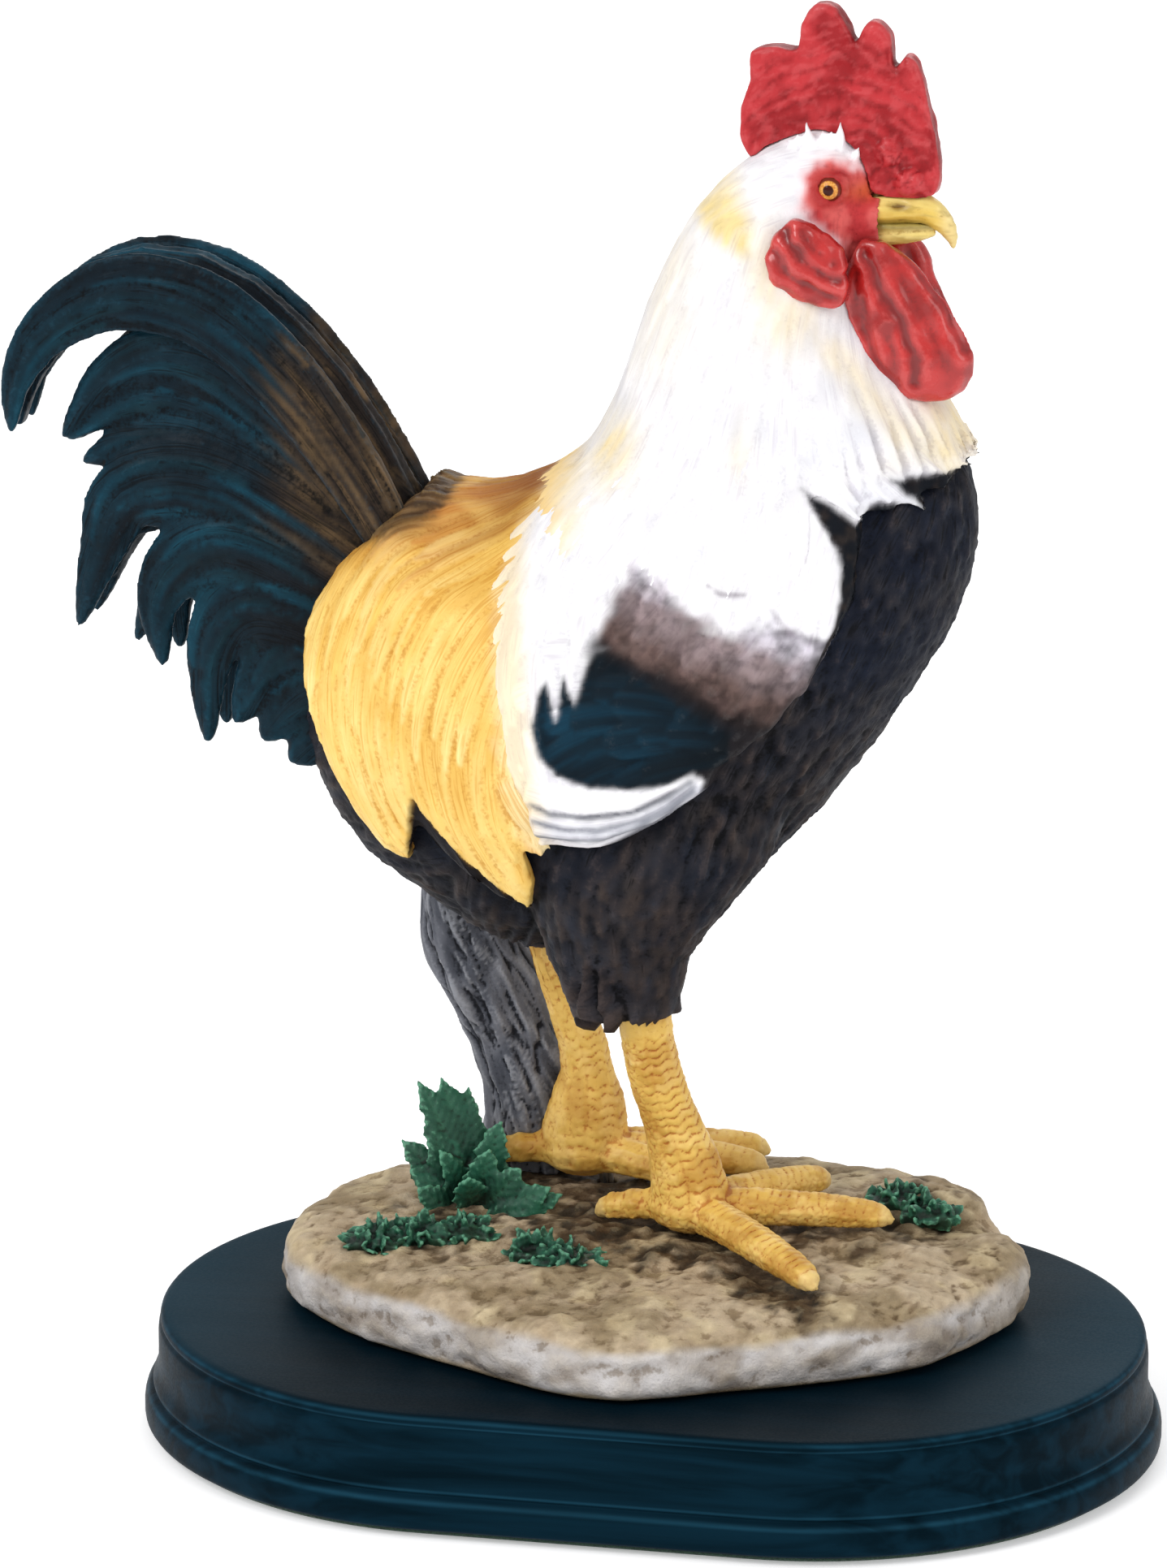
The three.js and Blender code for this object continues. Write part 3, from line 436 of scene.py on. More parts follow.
ground = Casting([solid_of("ground_casting")], 0.75)
ground.smooth(16)
spot = ground.points.copy()
facing = ground.normals()
top = ramp(facing[:, 2], 0.55, 0.9)
side = 1 - ramp(np.abs(facing[:, 2]), 0.3, 0.8)
free = ramp(spot[:, 2], 22.6, 24.5)
soil = np.zeros(len(spot))
for x, y, reach, weight in (
    (10, -2, 15, 1.0), (24, -16, 11, 0.95), (32, -26, 8, 0.9), (28, 4, 11, 0.7), (40, 4, 7, 0.6), (-12, 2, 17, 1.0),
    (-22, 20, 17, 1.0), (-47, -8, 9, 0.9), (-38, -5, 9, 0.95), (-33, 6, 14, 1.0), (-15, -13, 9, 1.0), (0, -14, 7, 0.7),
    (44, 18, 11, 0.95), (-30, 33, 14, 0.8), (0, 20, 18, 0.95), (18, -8, 12, 0.8), (-52, 4, 9, 0.5), (52, 26, 9, 0.4),
):
    away2 = ((spot[:, 0] - x) ** 2 + (spot[:, 1] - y) ** 2) / reach**2
    soil = np.maximum(soil, weight * np.exp(-(away2**1.4)))
heave = 1.3 * rough(spot, 15) + 0.5 * rough(spot, 6, 4) + (0.22 + 0.3 * soil) * rough(spot, 1.9, 3)
clod = 0.7 * np.maximum(0, rough(spot, 5, 4, 9.0) - 0.12) * top * (0.3 + soil)
ledge = side * (1.0 * rough(spot, (15, 15, 8), 3, 4.0) + 0.5 * rough(spot, (5, 5, 3.4), 3, 7.0))
crack = side * ramp(np.abs(rough(spot, (16, 16, 22), 3, 2.0)), 0.07, 0.0)
parted = ramp(np.abs(rough(spot, (8, 8, 6), 3, 41.0)), 0.055, 0.0) * ramp(rough(spot, 14, 2, 43.0), -0.2, 0.2) * top
grit = rough(spot, 1.5, 2, 44.0)
ground.push(free * (heave + 2.4 * clod + ledge - 0.2 * crack - 0.35 * parted + 0.2 * grit * top))
ground.points[:, 2] = np.maximum(ground.points[:, 2], 22.05)
ground.smooth(1)
spot = ground.points
edge = np.minimum(side + 0.0, 1)
patch = rough(spot, 16, 4, 3.0)
fleck = rough(spot, 3.2, 4, 6.0)
paint = blend(colour("#b9a68b"), colour("#978568"), ramp(patch + 0.3 * fleck, -0.25, 0.35))
paint = blend(paint, colour("#cdbb97"), ramp(rough(spot, 9, 3, 12.0), 0.1, 0.5) * 0.7)
front = ramp(-spot[:, 1], -12, 30)
pale = blend(colour("#a19890"), colour("#c9c5c4"), ramp(rough(spot, (14, 14, 7), 4, 5.0) + 0.3 * front - 0.15, -0.3, 0.3))
pale = blend(pale, colour("#8c7d69"), ramp(rough(spot, (12, 12, 5), 3, 15.0), 0.1, 0.5) * 0.25)
low_rim = edge * ramp(spot[:, 2] + 3 * rough(spot, 12, 3, 31.0), 36.5, 31.0) * (0.4 + 0.6 * front)
paint = blend(paint, pale, np.clip(low_rim * 1.35, 0, 1))
# Dark brown round the plants and feet: dark earth, and also painted shade under the feet and leaves.
dark_earth_and_shade = ramp(soil + 0.6 * rough(spot, 6, 5, 21.0) + 0.3 * fleck, 0.45, 0.9) * (1 - edge)
paint = blend(paint, blend(colour("#4c3a27"), colour("#241d16"), ramp(rough(spot, 4, 3, 8.0), -0.2, 0.3)), dark_earth_and_shade * 0.92)
paint = blend(paint, colour("#5f4a33"), parted * 0.6) * (1 + 0.2 * grit * (1 - 0.6 * edge)).reshape(-1, 1)
# Painted shade: darker brown along the foot of the casting, where it sits on the board.
paint = blend(paint, colour("#3a2d20"), ramp(spot[:, 2], 23.6, 22.2) * 0.8)
relief = ground.raised(6)
earth = painted("painted_resin_earth", (0.62, 0.85), ("#9c8c74", 0.6), ("#8f8268", 0.3), fine=2.6, specular=0.2, cloud="#c4b6a2")
ground.make("ground_with_stone_rim", earth, "resin_earth", ["ground_casting"], paint, relief)


# Stump: a cast copy of weathered driftwood, twisted and split along its grain, painted grey over
# black and dry-brushed pale on its ridges.
log = Casting([solid_of("stump", 0.1)], 0.5)
log.smooth(3)
spot = log.points.copy()
STEM = np.array([(-29, 34, 34), (-29.6, 33.6, 42), (-30.6, 33, 52), (-33, 32.2, 63), (-36, 31, 73), (-39, 29.6, 83), (-40.6, 28, 94), (-40, 25.4, 114)])
stem_x, stem_y = (np.interp(spot[:, 2], STEM[:, 2], STEM[:, k]) for k in (0, 1))
turn = np.arctan2(spot[:, 1] - stem_y, spot[:, 0] - stem_x) + 0.022 * (spot[:, 2] - 60)
wind = np.stack([np.cos(turn) * 7, np.sin(turn) * 7, spot[:, 2] * 0.14], axis=1)
split = np.abs(rough(wind, 3.1, 3, 2.0))
fibre = rough(wind, (0.9, 0.9, 1.5), 3, 5.0)
bulge = rough(spot, (12, 12, 22), 3, 1.0)
log.push((1.6 * bulge - 0.8 * ramp(split, 0.12, 0.0) + 0.4 * fibre + 0.6 * rough(wind, (3.2, 3.2, 4), 2, 8.0)) * ramp(spot[:, 2], 34, 40) + 1.6 * ramp(-log.normals()[:, 0], 0, 0.7) * np.exp(-(((spot[:, 2] - 73) / 10) ** 2)))
log.smooth(1)
relief = log.raised(6)
paint = blend(colour("#6c6e76"), colour("#484b54"), ramp(rough(spot, (9, 9, 20), 3, 4.0), -0.2, 0.3))
paint = blend(paint, colour("#9a9ca2"), ramp(fibre, 0.1, 0.45) * 0.6)
paint = blend(paint, colour("#22252e"), ramp(split, 0.1, 0.02) * 0.7)
# Painted shade: darker towards the top, where the stump goes in under the body.
paint = blend(paint, colour("#191b22"), ramp(spot[:, 2], 104, 114) * 0.6)
driftwood = painted("painted_resin_driftwood", (0.55, 0.8), ("#565a66", 0.85), ("#6a6c72", 0.5), fine=1.3, specular=0.25, cloud="#a8acb4")
log.make("driftwood_stump", driftwood, "resin_driftwood", ["stump"], paint, relief)


# Plants: cast leaves with folded blades and toothed edges, in one tall clump and three low tufts,
# painted dark green and dry-brushed pale green along their ribs; the pale green also paints their
# glossy highlights.
TOP = np.array((-1, -0.72, -0.36, 0, 0.36, 0.72, 1))
RING = len(TOP) + 2


class Plumage:
    """Feathers or leaves, each a thin closed solid that keeps its own paint and directions."""

    def __init__(self):
        self.points, self.places, self.paints = [], [], []
        self.faces, self.caps, self.count = [], [], 0

    def lay(self, path, normals, widths, rises, sinks, root, tip, crown=0.35, ridge=0.0):
        path, normals = np.asarray(path, float), np.asarray(normals, float)
        widths, rises, sinks = (np.broadcast_to(v, len(path)).reshape(-1, 1).astype(float) for v in (widths, rises, sinks))
        along = np.gradient(path, axis=0)
        along /= np.linalg.norm(along, axis=1, keepdims=True) + 1e-9
        side = np.cross(along, normals)
        side /= np.linalg.norm(side, axis=1, keepdims=True) + 1e-9
        up = np.cross(side, along)
        step = np.linalg.norm(np.diff(path, axis=0), axis=1)
        length = np.concatenate([[0], np.cumsum(step)])
        share = length / max(length[-1], 1e-6)
        stations = [
            path + side * u * widths + up * (rises * (1 - crown * u * u) + ridge * (abs(u) < 0.1)) for u in TOP
        ] + [path + side * u * widths - up * sinks for u in (0.85, -0.85)]
        self.points.append(np.stack(stations, axis=1).reshape(-1, 3))
        across = np.concatenate([TOP, (1, -1)])
        number = len(self.paints)
        for i, t in enumerate(share):
            half = float(widths[i, 0])
            self.places += [(t, u, u * half, length[i], number) for u in across]
        self.paints.append(np.concatenate([root, tip]))
        base, last = self.count, self.count + (len(path) - 1) * RING
        self.faces += [
            (base + r * RING + s, base + r * RING + (s + 1) % RING, base + (r + 1) * RING + (s + 1) % RING, base + (r + 1) * RING + s)
            for r in range(len(path) - 1)
            for s in range(RING)
        ]
        self.caps += [tuple(base + s for s in range(RING - 1, -1, -1)), tuple(last + s for s in range(RING))]
        self.count += len(path) * RING

    def solid(self):
        return np.concatenate(self.points), self.faces + self.caps

    def dress(self, casting, reach, bare):
        """Paint and lane of each point of a casting from the feather that it belongs to."""
        corners = np.concatenate(self.points)
        places, paints = np.array(self.places), np.array(self.paints)
        tree = BVHTree.FromPolygons(corners.tolist(), self.faces)
        found = [tree.find_nearest(Vector(p), reach) for p in casting.points]
        hit = np.array([f[2] if f[2] is not None else -1 for f in found])
        spots = np.array([tuple(f[0]) if f[0] is not None else (0.0, 0.0, 0.0) for f in found])
        face = np.array(self.faces)[np.maximum(hit, 0)]
        a, b, c, d = (corners[face[:, k]] for k in range(4))
        back, ahead = (a + b) / 2, (c + d) / 2
        f = np.clip(((spots - back) * (ahead - back)).sum(1) / np.maximum(((ahead - back) ** 2).sum(1), 1e-9), 0, 1)[:, None]
        left, right = a + (d - a) * f, b + (c - b) * f
        g = np.clip(((spots - left) * (right - left)).sum(1) / np.maximum(((right - left) ** 2).sum(1), 1e-9), 0, 1)[:, None]
        pa, pb, pc, pd = (places[face[:, k]] for k in range(4))
        place = (pa + (pd - pa) * f) * (1 - g) + (pb + (pc - pb) * f) * g
        number = places[face[:, 0], 4].astype(int)
        share = ramp(place[:, 0], 0.15, 0.95)[:, None]
        tint = paints[number, :3] * (1 - share) + paints[number, 3:] * share
        covered = (hit >= 0)[:, None]
        lane = np.where(covered, np.stack([place[:, 2], place[:, 3], number * 7.31], axis=1), casting.points * (1, 1, 0) + (0, 0, 3))
        return np.where(covered, tint, bare), lane, np.where(covered[:, 0], place[:, 1], 0), np.where(covered[:, 0], place[:, 0], 0)


rng = np.random.default_rng(7)


def frond(bed, root, reach, width, face, thick=0.8, teeth=5):
    """A pointed leaf with toothed edges and a folded blade."""
    t = np.linspace(0, 1, 4 * teeth + 1)
    root, reach, face = np.array(root, float), np.array(reach, float), np.array(face, float)
    face /= np.linalg.norm(face)
    arch = 0.16 * np.linalg.norm(reach)
    path = root + t[:, None] * reach + (arch * np.sin(np.pi * t) ** 0.8 * 0.8)[:, None] * face
    jag = 0.85 + 0.45 * (1 - (t * teeth) % 1) * (t < 0.93)
    widths = np.maximum(width * 0.46 * np.sin(np.pi * np.clip(t, 0, 1) ** 0.75) ** 0.7 * jag, 0.25)
    path += (np.sin(t * 5 + rng.uniform(0, 6)) * 0.03 * arch / 0.16)[:, None] * np.cross(face, reach / np.linalg.norm(reach))
    tone = rng.uniform(0.7, 1.35)
    bed.lay(path, np.tile(face, (len(t), 1)), widths, thick * 0.35, thick * 0.75, colour("#0f3025") * tone, colour("#1f5440") * tone, crown=1.6, ridge=-0.35)


def greenery(name, node, bed, voxel):
    leaves = Casting([bed.solid()], voxel)
    leaves.smooth(1)
    tint, lane, across, _ = bed.dress(leaves, 1.5, colour("#16281c"))
    rib = np.exp(-((across / 0.12) ** 2))
    vein = 0.5 + 0.5 * np.cos(2 * np.pi * (lane[:, 1] - 1.1 * np.abs(lane[:, 0])) / 1.9)
    leaves.push(0.1 * (vein - 0.5) + 0.08 * rough(leaves.points, 0.9, 2))
    relief = leaves.raised(4)
    # Pale green on the ribs and raised veins: dry-brushed paint that also stands as painted highlight.
    tint = blend(tint, colour("#4f8d6c"), np.clip(0.35 * rib + 0.35 * vein * ramp(relief, -0.1, 0.8), 0, 1))
    leaves.make(name, leaf_paint, "resin_leaf", [node], tint, relief, lane)


# Its pale green on the ridges is dry-brushing and also painted highlight.
leaf_paint = painted("painted_resin_leaves", (0.4, 0.65), ("#35503f", 0.95), ("#5f9678", 0.75), fine=0.9, specular=0.3)
clump = Plumage()
for root, reach, width in (
    ((-37.4, 14, 35), (-10.2, 0, 24.6), 7.6), ((-37.2, 15, 35), (-5.4, 0.5, 25.2), 9.4), ((-38, 13, 35), (-12.6, -1, 13), 7.6), ((-37, 15, 35), (-1, 1, 23.5), 7.4),
    ((-36, 14, 35), (5, -1, 18), 7.4), ((-38, 13, 35), (-10, -4, 9), 7.2), ((-35, 10, 35.5), (9, -3, 10.5), 7.4),
    ((-34, 9, 35.5), (13.6, -2.4, 7.6), 6.6), ((-36, 11, 35.5), (0.4, -7, 9), 7.0), ((-33, 7, 35.5), (14.6, 1.4, 5.4), 6.0),
    ((-38.5, 11, 35), (-7, -7, 6.6), 6.4), ((-35.5, 12, 35.5), (3, -5, 14), 6.8), ((-39, 14, 35), (-5, -3, 17), 6.6),
):
    for twist in (0.0, 1.0):
        lean = rng.normal(0, 1.6, 3) * twist
        frond(clump, root, np.array(reach) * (1 - 0.3 * twist) + lean, width * (1 - 0.2 * twist), (0.2 + 0.3 * twist, -0.9, 0.45))
greenery("leaf_clump_tall", "leaf_clump", clump, 0.38)

for name, node, mounds in (
    ("leaf_tuft_rear", "moss_left", ((-50, -10, 6, 35.4), (-42, -6.5, 6.4, 36), (-34, -4.5, 6, 36.4))),
    ("leaf_tuft_front", "moss_front", ((-19, -12, 5.8, 36), (-12, -14.5, 5.6, 36))),
    ("leaf_tuft_side", "moss_right", ((43, 21, 5.8, 39.4), (49, 17, 6, 38.8))),
):
    bed = Plumage()
    for x, y, reach, height in mounds:
        for _ in range(52):
            angle, share = rng.uniform(0, 2 * math.pi), math.sqrt(rng.uniform(0, 1))
            out = np.array((math.cos(angle), 0.85 * math.sin(angle), 0))
            root = np.array((x, y, height)) + out * reach * share * 0.85 + (0, 0, 1.5 - 2.2 * share**2)
            swing = out * rng.uniform(0.8, 3.0) * (0.35 + share) + (0, 0, rng.uniform(1.6, 4.2) * (1.15 - 0.75 * share)) + rng.normal(0, 0.5, 3)
            frond(bed, root, swing, rng.uniform(1.3, 2.5), out * 0.6 + (0, -0.2, 0.7) + rng.normal(0, 0.25, 3), 0.6, 3)
        bed.lay([(x - reach * 0.8, y, height), (x, y, height + 0.6), (x + reach * 0.8, y, height)], [(0, 0, 1)] * 3, reach * 0.6, 1.2, 2.0, colour("#0f2018"), colour("#16301f"))
    greenery(name, node, bed, 0.36)


# Legs: cast round a steel wire with the scales modelled in, painted golden yellow, and wiped with an
# orange-brown wash that stays between the scales. Each claw is a blunt horn-coloured tip.
BIRD_Y = 7.0


def along_bones(points, bones):
    """Nearest bone of each point: its number, millimetres along it, and the unit way out of it."""
    best = np.full(len(points), 1e9)
    which, run, out = np.zeros(len(points), int), np.zeros(len(points)), np.zeros((len(points), 3))
    for number, bone in enumerate(bones):
        bone = np.array(bone, float)
        passed = 0.0
        for a, b, ra, rb in zip(bone[:-1, :3], bone[1:, :3], bone[:-1, 3], bone[1:, 3]):
            length = np.linalg.norm(b - a)
            t = np.clip((points - a) @ (b - a) / length**2, 0, 1)
            gap = points - (a + t[:, None] * (b - a))
            far = np.linalg.norm(gap, axis=1)
            ratio = far / (ra + t * (rb - ra))
            nearer = ratio < best
            best[nearer], which[nearer], run[nearer] = ratio[nearer], number, passed + t[nearer] * length
            out[nearer] = gap[nearer] / np.maximum(far[nearer, None], 1e-6)
            passed += length
    return which, run, out


def scaled_leg(name, node, ball, reach, shank, seed, slim, plain_share, lean):
    ball = np.array(ball, float) + (0, BIRD_Y, 0)
    bones = [[(x, y + BIRD_Y, z, 5.5) for x, y, z in shank]]
    for k, tip in enumerate(reach):
        tip = np.array(tip, float) + (0, BIRD_Y, 0)
        bones.append([(*(ball + (0, 0, -0.6)), 5.0), (*(ball * 0.65 + tip * 0.35 + (0, 0, 0.6)), 3.6), (*tip, 2.6)])
    solids = [solid_of(node, 0.1)]
    claws = Plumage()
    for k, tip in enumerate(reach):
        tip = np.array(tip, float) + (0, BIRD_Y, 0)
        line = (tip - ball) * (1, 1, 0)
        line /= np.linalg.norm(line)
        t = np.linspace(0, 1, 6)[:, None]
        path = tip - line * 3.4 + line * 3.9 * t + np.array((0, 0, 1)) * (0.5 - 1.5 * t**2)
        claws.lay(path, np.tile((0, 0, 1), (6, 1)), 1.9 * (1 - 0.6 * t[:, 0] ** 2), 1.5 * (1 - 0.5 * t[:, 0] ** 2), 1.3 * (1 - 0.4 * t[:, 0]), np.zeros(3), np.zeros(3), crown=0.8)
        for share, size in ((0.34, 4.0), (0.6, 3.5), (0.82, 3.1)):
            knob = ball * (1 - share) + tip * share + (0, 0, 0.5)
            for sign in (1,):
                t = np.linspace(-1, 1, 7)[:, None]
                round_off = np.sqrt(np.clip(1 - t[:, 0] ** 2, 0.02, 1))
                claws.lay(knob + line * t * size * 0.9, np.tile((0, 0, 1), (7, 1)), size * round_off * 0.92, size * 0.9 * round_off, size * 0.6 * round_off, np.zeros(3), np.zeros(3), crown=0.6)
    solids.append(claws.solid())
    leg = Casting(solids, 0.4)
    leg.smooth(3)
    spot = leg.points.copy()
    which, run, out = along_bones(spot, bones)
    shin = which == 0
    up = np.where(shin, -run, run)
    turn = np.where(shin, np.arctan2(-out[:, 1], out[:, 0] + 0.15), np.arccos(np.clip(out[:, 2], -1, 1)))
    wide = np.abs(turn)
    bend = np.where(shin, 0.85 * np.abs(np.abs(np.mod(turn / 0.62, 2) - 1) * 2 - 1), 0.5 * wide**2) + 0.5 * rough(spot, 4, 2, seed + 7)
    spacing = np.where(shin, 1.95, 1.8)
    wave = np.mod((up + bend + 0.35 * rough(spot, 7, 2, seed)) / spacing, 1)
    cross = np.minimum(wave, 1 - wave) * spacing
    front = np.where(shin, ramp(wide, 1.9, 1.5), ramp(wide, 1.15, 0.85))
    column = np.where(shin, np.abs(np.mod(turn + 0.62, 1.24) - 0.62) * 5.3, 9)
    rows = np.exp(-((cross / 0.24) ** 2)) * front * np.where(shin, 1, 0.6) * (0.7 + 0.6 * ramp(rough(spot, 6, 3, seed + 11), -0.3, 0.3))
    ribs = 0.5 * np.exp(-((column / 0.35) ** 2)) * front * shin
    pebble = np.array([noise.voronoi(Vector(p))[0][:2] for p in spot / (1.5, 1.5, 1.3)])
    crack = np.exp(-(((pebble[:, 1] - pebble[:, 0]) / 0.16) ** 2)) * (1 - front) * 0.75
    groove = np.clip(np.maximum(np.maximum(rows, ribs), crack), 0, 1)
    lip = 0.35 * front * (wave - 0.5)
    groove = groove * plain_share * ramp(spot[:, 2], 80.5, 77.5)
    toes = ramp(spot[:, 2], 37, 31) * ramp(leg.normals()[:, 2], -0.4, 0.0) * ramp(spot[:, 2], 22, 25)
    skin_side = ramp(np.einsum("ij,ij->i", leg.normals(), out), -0.2, 0.3)
    leg.push(0.55 * toes + slim * skin_side * (ramp(spot[:, 2], 52, 64) + 1.8 * ramp(spot[:, 2], 68, 82)) + 0.3 * lip - 0.28 * groove + 0.16 * rough(spot, 2.2, 3, seed))
    leg.points[:, 2] = np.maximum(leg.points[:, 2], spot[:, 2].min())
    leg.points[:, 0] -= lean * ramp(spot[:, 2], 64, 86)
    relief = leg.raised(5)
    tips = np.min([np.linalg.norm(spot - (np.array(t) + (0, BIRD_Y, 0)), axis=1) for t in reach], axis=0)
    claw = ramp(tips, 3.6, 2.4)
    paint = blend(colour("#e8bf60"), colour("#cfa048"), ramp(rough(spot, 7, 4, seed), -0.15, 0.4))
    paint = blend(paint, colour("#f5d07a"), ramp(rough(spot, 5, 3, seed + 3), 0.05, 0.4) * 0.6)
    paint = blend(paint, colour("#c47f30"), groove * 0.6)
    paint = blend(paint, colour("#8a5a26"), ramp(spot[:, 2] + rough(spot, 4), 41.0, 37.0) * 0.55)
    paint = blend(paint, colour("#f2d898"), claw * 0.5)
    # Painted shade: darker brown at the top of the leg, where it goes up under the thigh feathers.
    paint = blend(paint, colour("#6b4a2a"), ramp(spot[:, 2], 89, 94) * 0.5)
    leg.make(name, leg_paint, "resin_leg", [node], paint, relief)


leg_paint = painted("painted_resin_scales", (0.42, 0.62), ("#c88f4c", 0.75), ("#70602c", 0.5), fine=0.6, specular=0.35, cloud="#d8c29a")
scaled_leg(
    "scaled_leg_right", "leg_right", (7, -4, 42.8), ((35, -31.5, 38.8), (43.2, 2, 40.8), (28.6, 18, 42), (-11, -2.5, 40)),
    ((7, -4, 43), (6, -4.6, 51), (4.2, -7, 59), (1.8, -10.6, 68), (-0.2, -14.6, 79), (-0.8, -16.6, 92)), 3.0, -0.15, 0.8, -0.9,
)
scaled_leg(
    "scaled_leg_left", "leg_left", (-18.5, 19, 44.6), ((6, 12, 41.8), (16, 22, 42.4), (14.5, 31.5, 42.6), (-37.5, 17, 42.6)),
    ((-18.5, 19, 45), (-17.5, 18.6, 53), (-17.3, 17.8, 60), (-18.7, 16.6, 70), (-21.6, 15.6, 80), (-23.4, 15.7, 95)), 9.0, -0.9, 0.45, 2.8,
)


# Body: breast, belly and thighs in one casting, covered with short fluffy feathers that lie down
# and back, painted blue-black and dry-brushed with brown.
skin_parts = Casting(
    [solid_of(node, 0.2) for node in ("body", "wing_right", "wing_left", "saddle_right", "saddle_left", "neck_head")], 1.2
)
skin_parts.smooth(5)
skin = BVHTree.FromPolygons(skin_parts.points.tolist(), skin_parts.quads.tolist())
skin_way = skin_parts.normals()


def trail(start, steer, length, steps=8, on=skin):
    """Path over the skin from a point, steered at each step, with the way out of the skin."""
    path, ways = [], []
    here = Vector(start)
    for _ in range(steps + 1):
        hit, way, _, _ = on.find_nearest(here)
        path.append(tuple(hit))
        ways.append(tuple(way))
        heading = Vector(steer(hit.x, hit.y - BIRD_Y, hit.z))
        heading -= way * heading.dot(way)
        if heading.length < 1e-3:
            heading = Vector((-0.3, 0, -1))
        here = hit + heading.normalized() * (length / steps)
    path, ways = np.array(path), np.array(ways)
    ways[1:-1] = (ways[:-2] + 2 * ways[1:-1] + ways[2:]) / 4
    return path, ways / np.linalg.norm(ways, axis=1, keepdims=True)


def scattered(points, spacing):
    """Some of the points, chosen at random, none nearer to another than the spacing."""
    cells, kept = {}, []
    for i in rng.permutation(len(points)):
        p = points[i]
        key = tuple(np.floor(p / spacing).astype(int))
        near = [
            q for dx in (-1, 0, 1) for dy in (-1, 0, 1) for dz in (-1, 0, 1)
            for q in cells.get((key[0] + dx, key[1] + dy, key[2] + dz), ())
        ]
        if all(((p - q) ** 2).sum() > spacing**2 for q in near):
            cells.setdefault(key, []).append(p)
            kept.append(p)
    return np.array(kept)


def inside(outline, x, z):
    """Whether points lie inside a closed outline seen from the side."""
    x, z = np.atleast_1d(x), np.atleast_1d(z)
    result = np.zeros(len(x), bool)
    for (xa, za), (xb, zb) in zip(outline, outline[1:] + outline[:1]):
        crosses = (za > z) != (zb > z)
        result ^= crosses & (x < (xb - xa) * (z - za) / (zb - za + 1e-12) + xa)
    return result


def line_gap(line, x, z):
    """Distance to a line of points seen from the side."""
    spots, nearest = np.stack([x, z], axis=1), np.full(len(x), 1e9)
    for a, b in zip(np.array(line[:-1], float), np.array(line[1:], float)):
        t = np.clip((spots - a) @ (b - a) / max((b - a) @ (b - a), 1e-9), 0, 1)
        nearest = np.minimum(nearest, np.linalg.norm(spots - a - t[:, None] * (b - a), axis=1))
    return nearest


def depth_in(outline, x, z):
    """Millimetres inside a closed outline seen from the side, negative outside it."""
    gap = line_gap(list(outline) + list(outline[:1]), x, z)
    return np.where(inside(outline, x, z), gap, -gap)


def taper(steps, kind):
    """Share of the full width at each step of a feather: pointed, round or ragged."""
    t = np.linspace(0, 1, steps + 1)
    if kind == "pointed":
        return np.maximum(np.minimum(1, 0.55 + 1.6 * t) * np.clip((1.02 - t) / 0.52, 0, 1) ** 0.75, 0.06)
    if kind == "round":
        return np.maximum(np.minimum(1, 0.7 + t) * np.sqrt(np.clip(1 - (np.clip(t - 0.62, 0, 1) / 0.4) ** 2, 0, 1)), 0.1)
    return np.maximum((0.8 + 0.35 * np.sin(3.1 * t)) * np.clip((1.03 - t) / 0.4, 0, 1) ** 0.6, 0.08)


def feather(bed, start, steer, length, width, rise, root, tip, kind="pointed", steps=8, sink=0.9, crown=0.4, ridge=0.0, on=skin):
    path, ways = trail(start, steer, length, steps, on)
    t = np.linspace(0, 1, steps + 1)
    rises = 0.15 + (rise - 0.15) * t**0.8
    rises[-1] *= 0.55
    bed.lay(path, ways, width / 2 * taper(steps, kind), rises, sink, root, tip, crown, ridge)


def down_back(x, y, z):
    if x < -34:
        return (-0.8, 0.0, -0.35)
    if z < 108 and x > -14 and y < -2:
        return (-0.8 - x * 0.4, -16.6 - y, -14 - (z - 84))
    if z < 108 and x > -40 and y > 2:
        return (-23 - x, 15.6 - y, -14 - (z - 86))
    return (-0.5 + 0.004 * (160 - z), 0.0, -0.85)


def settle(points):
    """The back sags between the tail and the shoulders."""
    drop = np.interp(points[:, 0], (-48, -45, -42.3, -38.3, -32, -26, -20, -17, -12, -10), (0, 0.8, 2.2, 4.5, 5.0, 4.6, 3.0, 1.9, 0.2, 0))
    return points - np.stack([0 * drop, 0 * drop, drop * ramp(points[:, 2], 158, 177)], axis=1)


trunk = Casting([solid_of("body", 0.1)], 1.2)
trunk.smooth(4)
trunk_skin = BVHTree.FromPolygons(trunk.points.tolist(), trunk.quads.tolist())
depth = np.array([skin.find_nearest(Vector(p))[3] for p in trunk.points])
fluff = Plumage()
for start in scattered(trunk.points[depth < 1.6], 3.3):
    x, y, z = start[0], start[1] - BIRD_Y, start[2]
    thigh = z < 116
    tone = rng.uniform(0, 1)
    root = blend(colour("#11151f"), colour("#1d1e26"), tone)[0]
    tip = blend(colour("#232731"), colour("#3e3631"), tone * (0.95 if thigh or x > 0 else 0.45))[0]
    size = rng.uniform(6.5, 10) if not thigh else rng.uniform(8, 13)
    feather(fluff, start, down_back, size, rng.uniform(2.4, 4.0), rng.uniform(0.4, 1.0), root, tip, "ragged", 5, 1.0, on=trunk_skin)
for start in scattered(trunk.points[(depth < 1.6) & (trunk.points[:, 2] < 128)], 2.6):
    grey = rng.uniform(0, 1)
    root = colour("#0e1119")
    tip = blend(colour("#2f343f"), colour("#4c413b"), grey)[0]
    feather(fluff, start, down_back, rng.uniform(9, 16), rng.uniform(1.1, 1.8), rng.uniform(0.9, 1.4), root, tip, "pointed", 7, 1.0, on=trunk_skin)
body = Casting([solid_of("body", 0.12), fluff.solid()], 0.7)
body.smooth(1)
spot = body.points.copy()
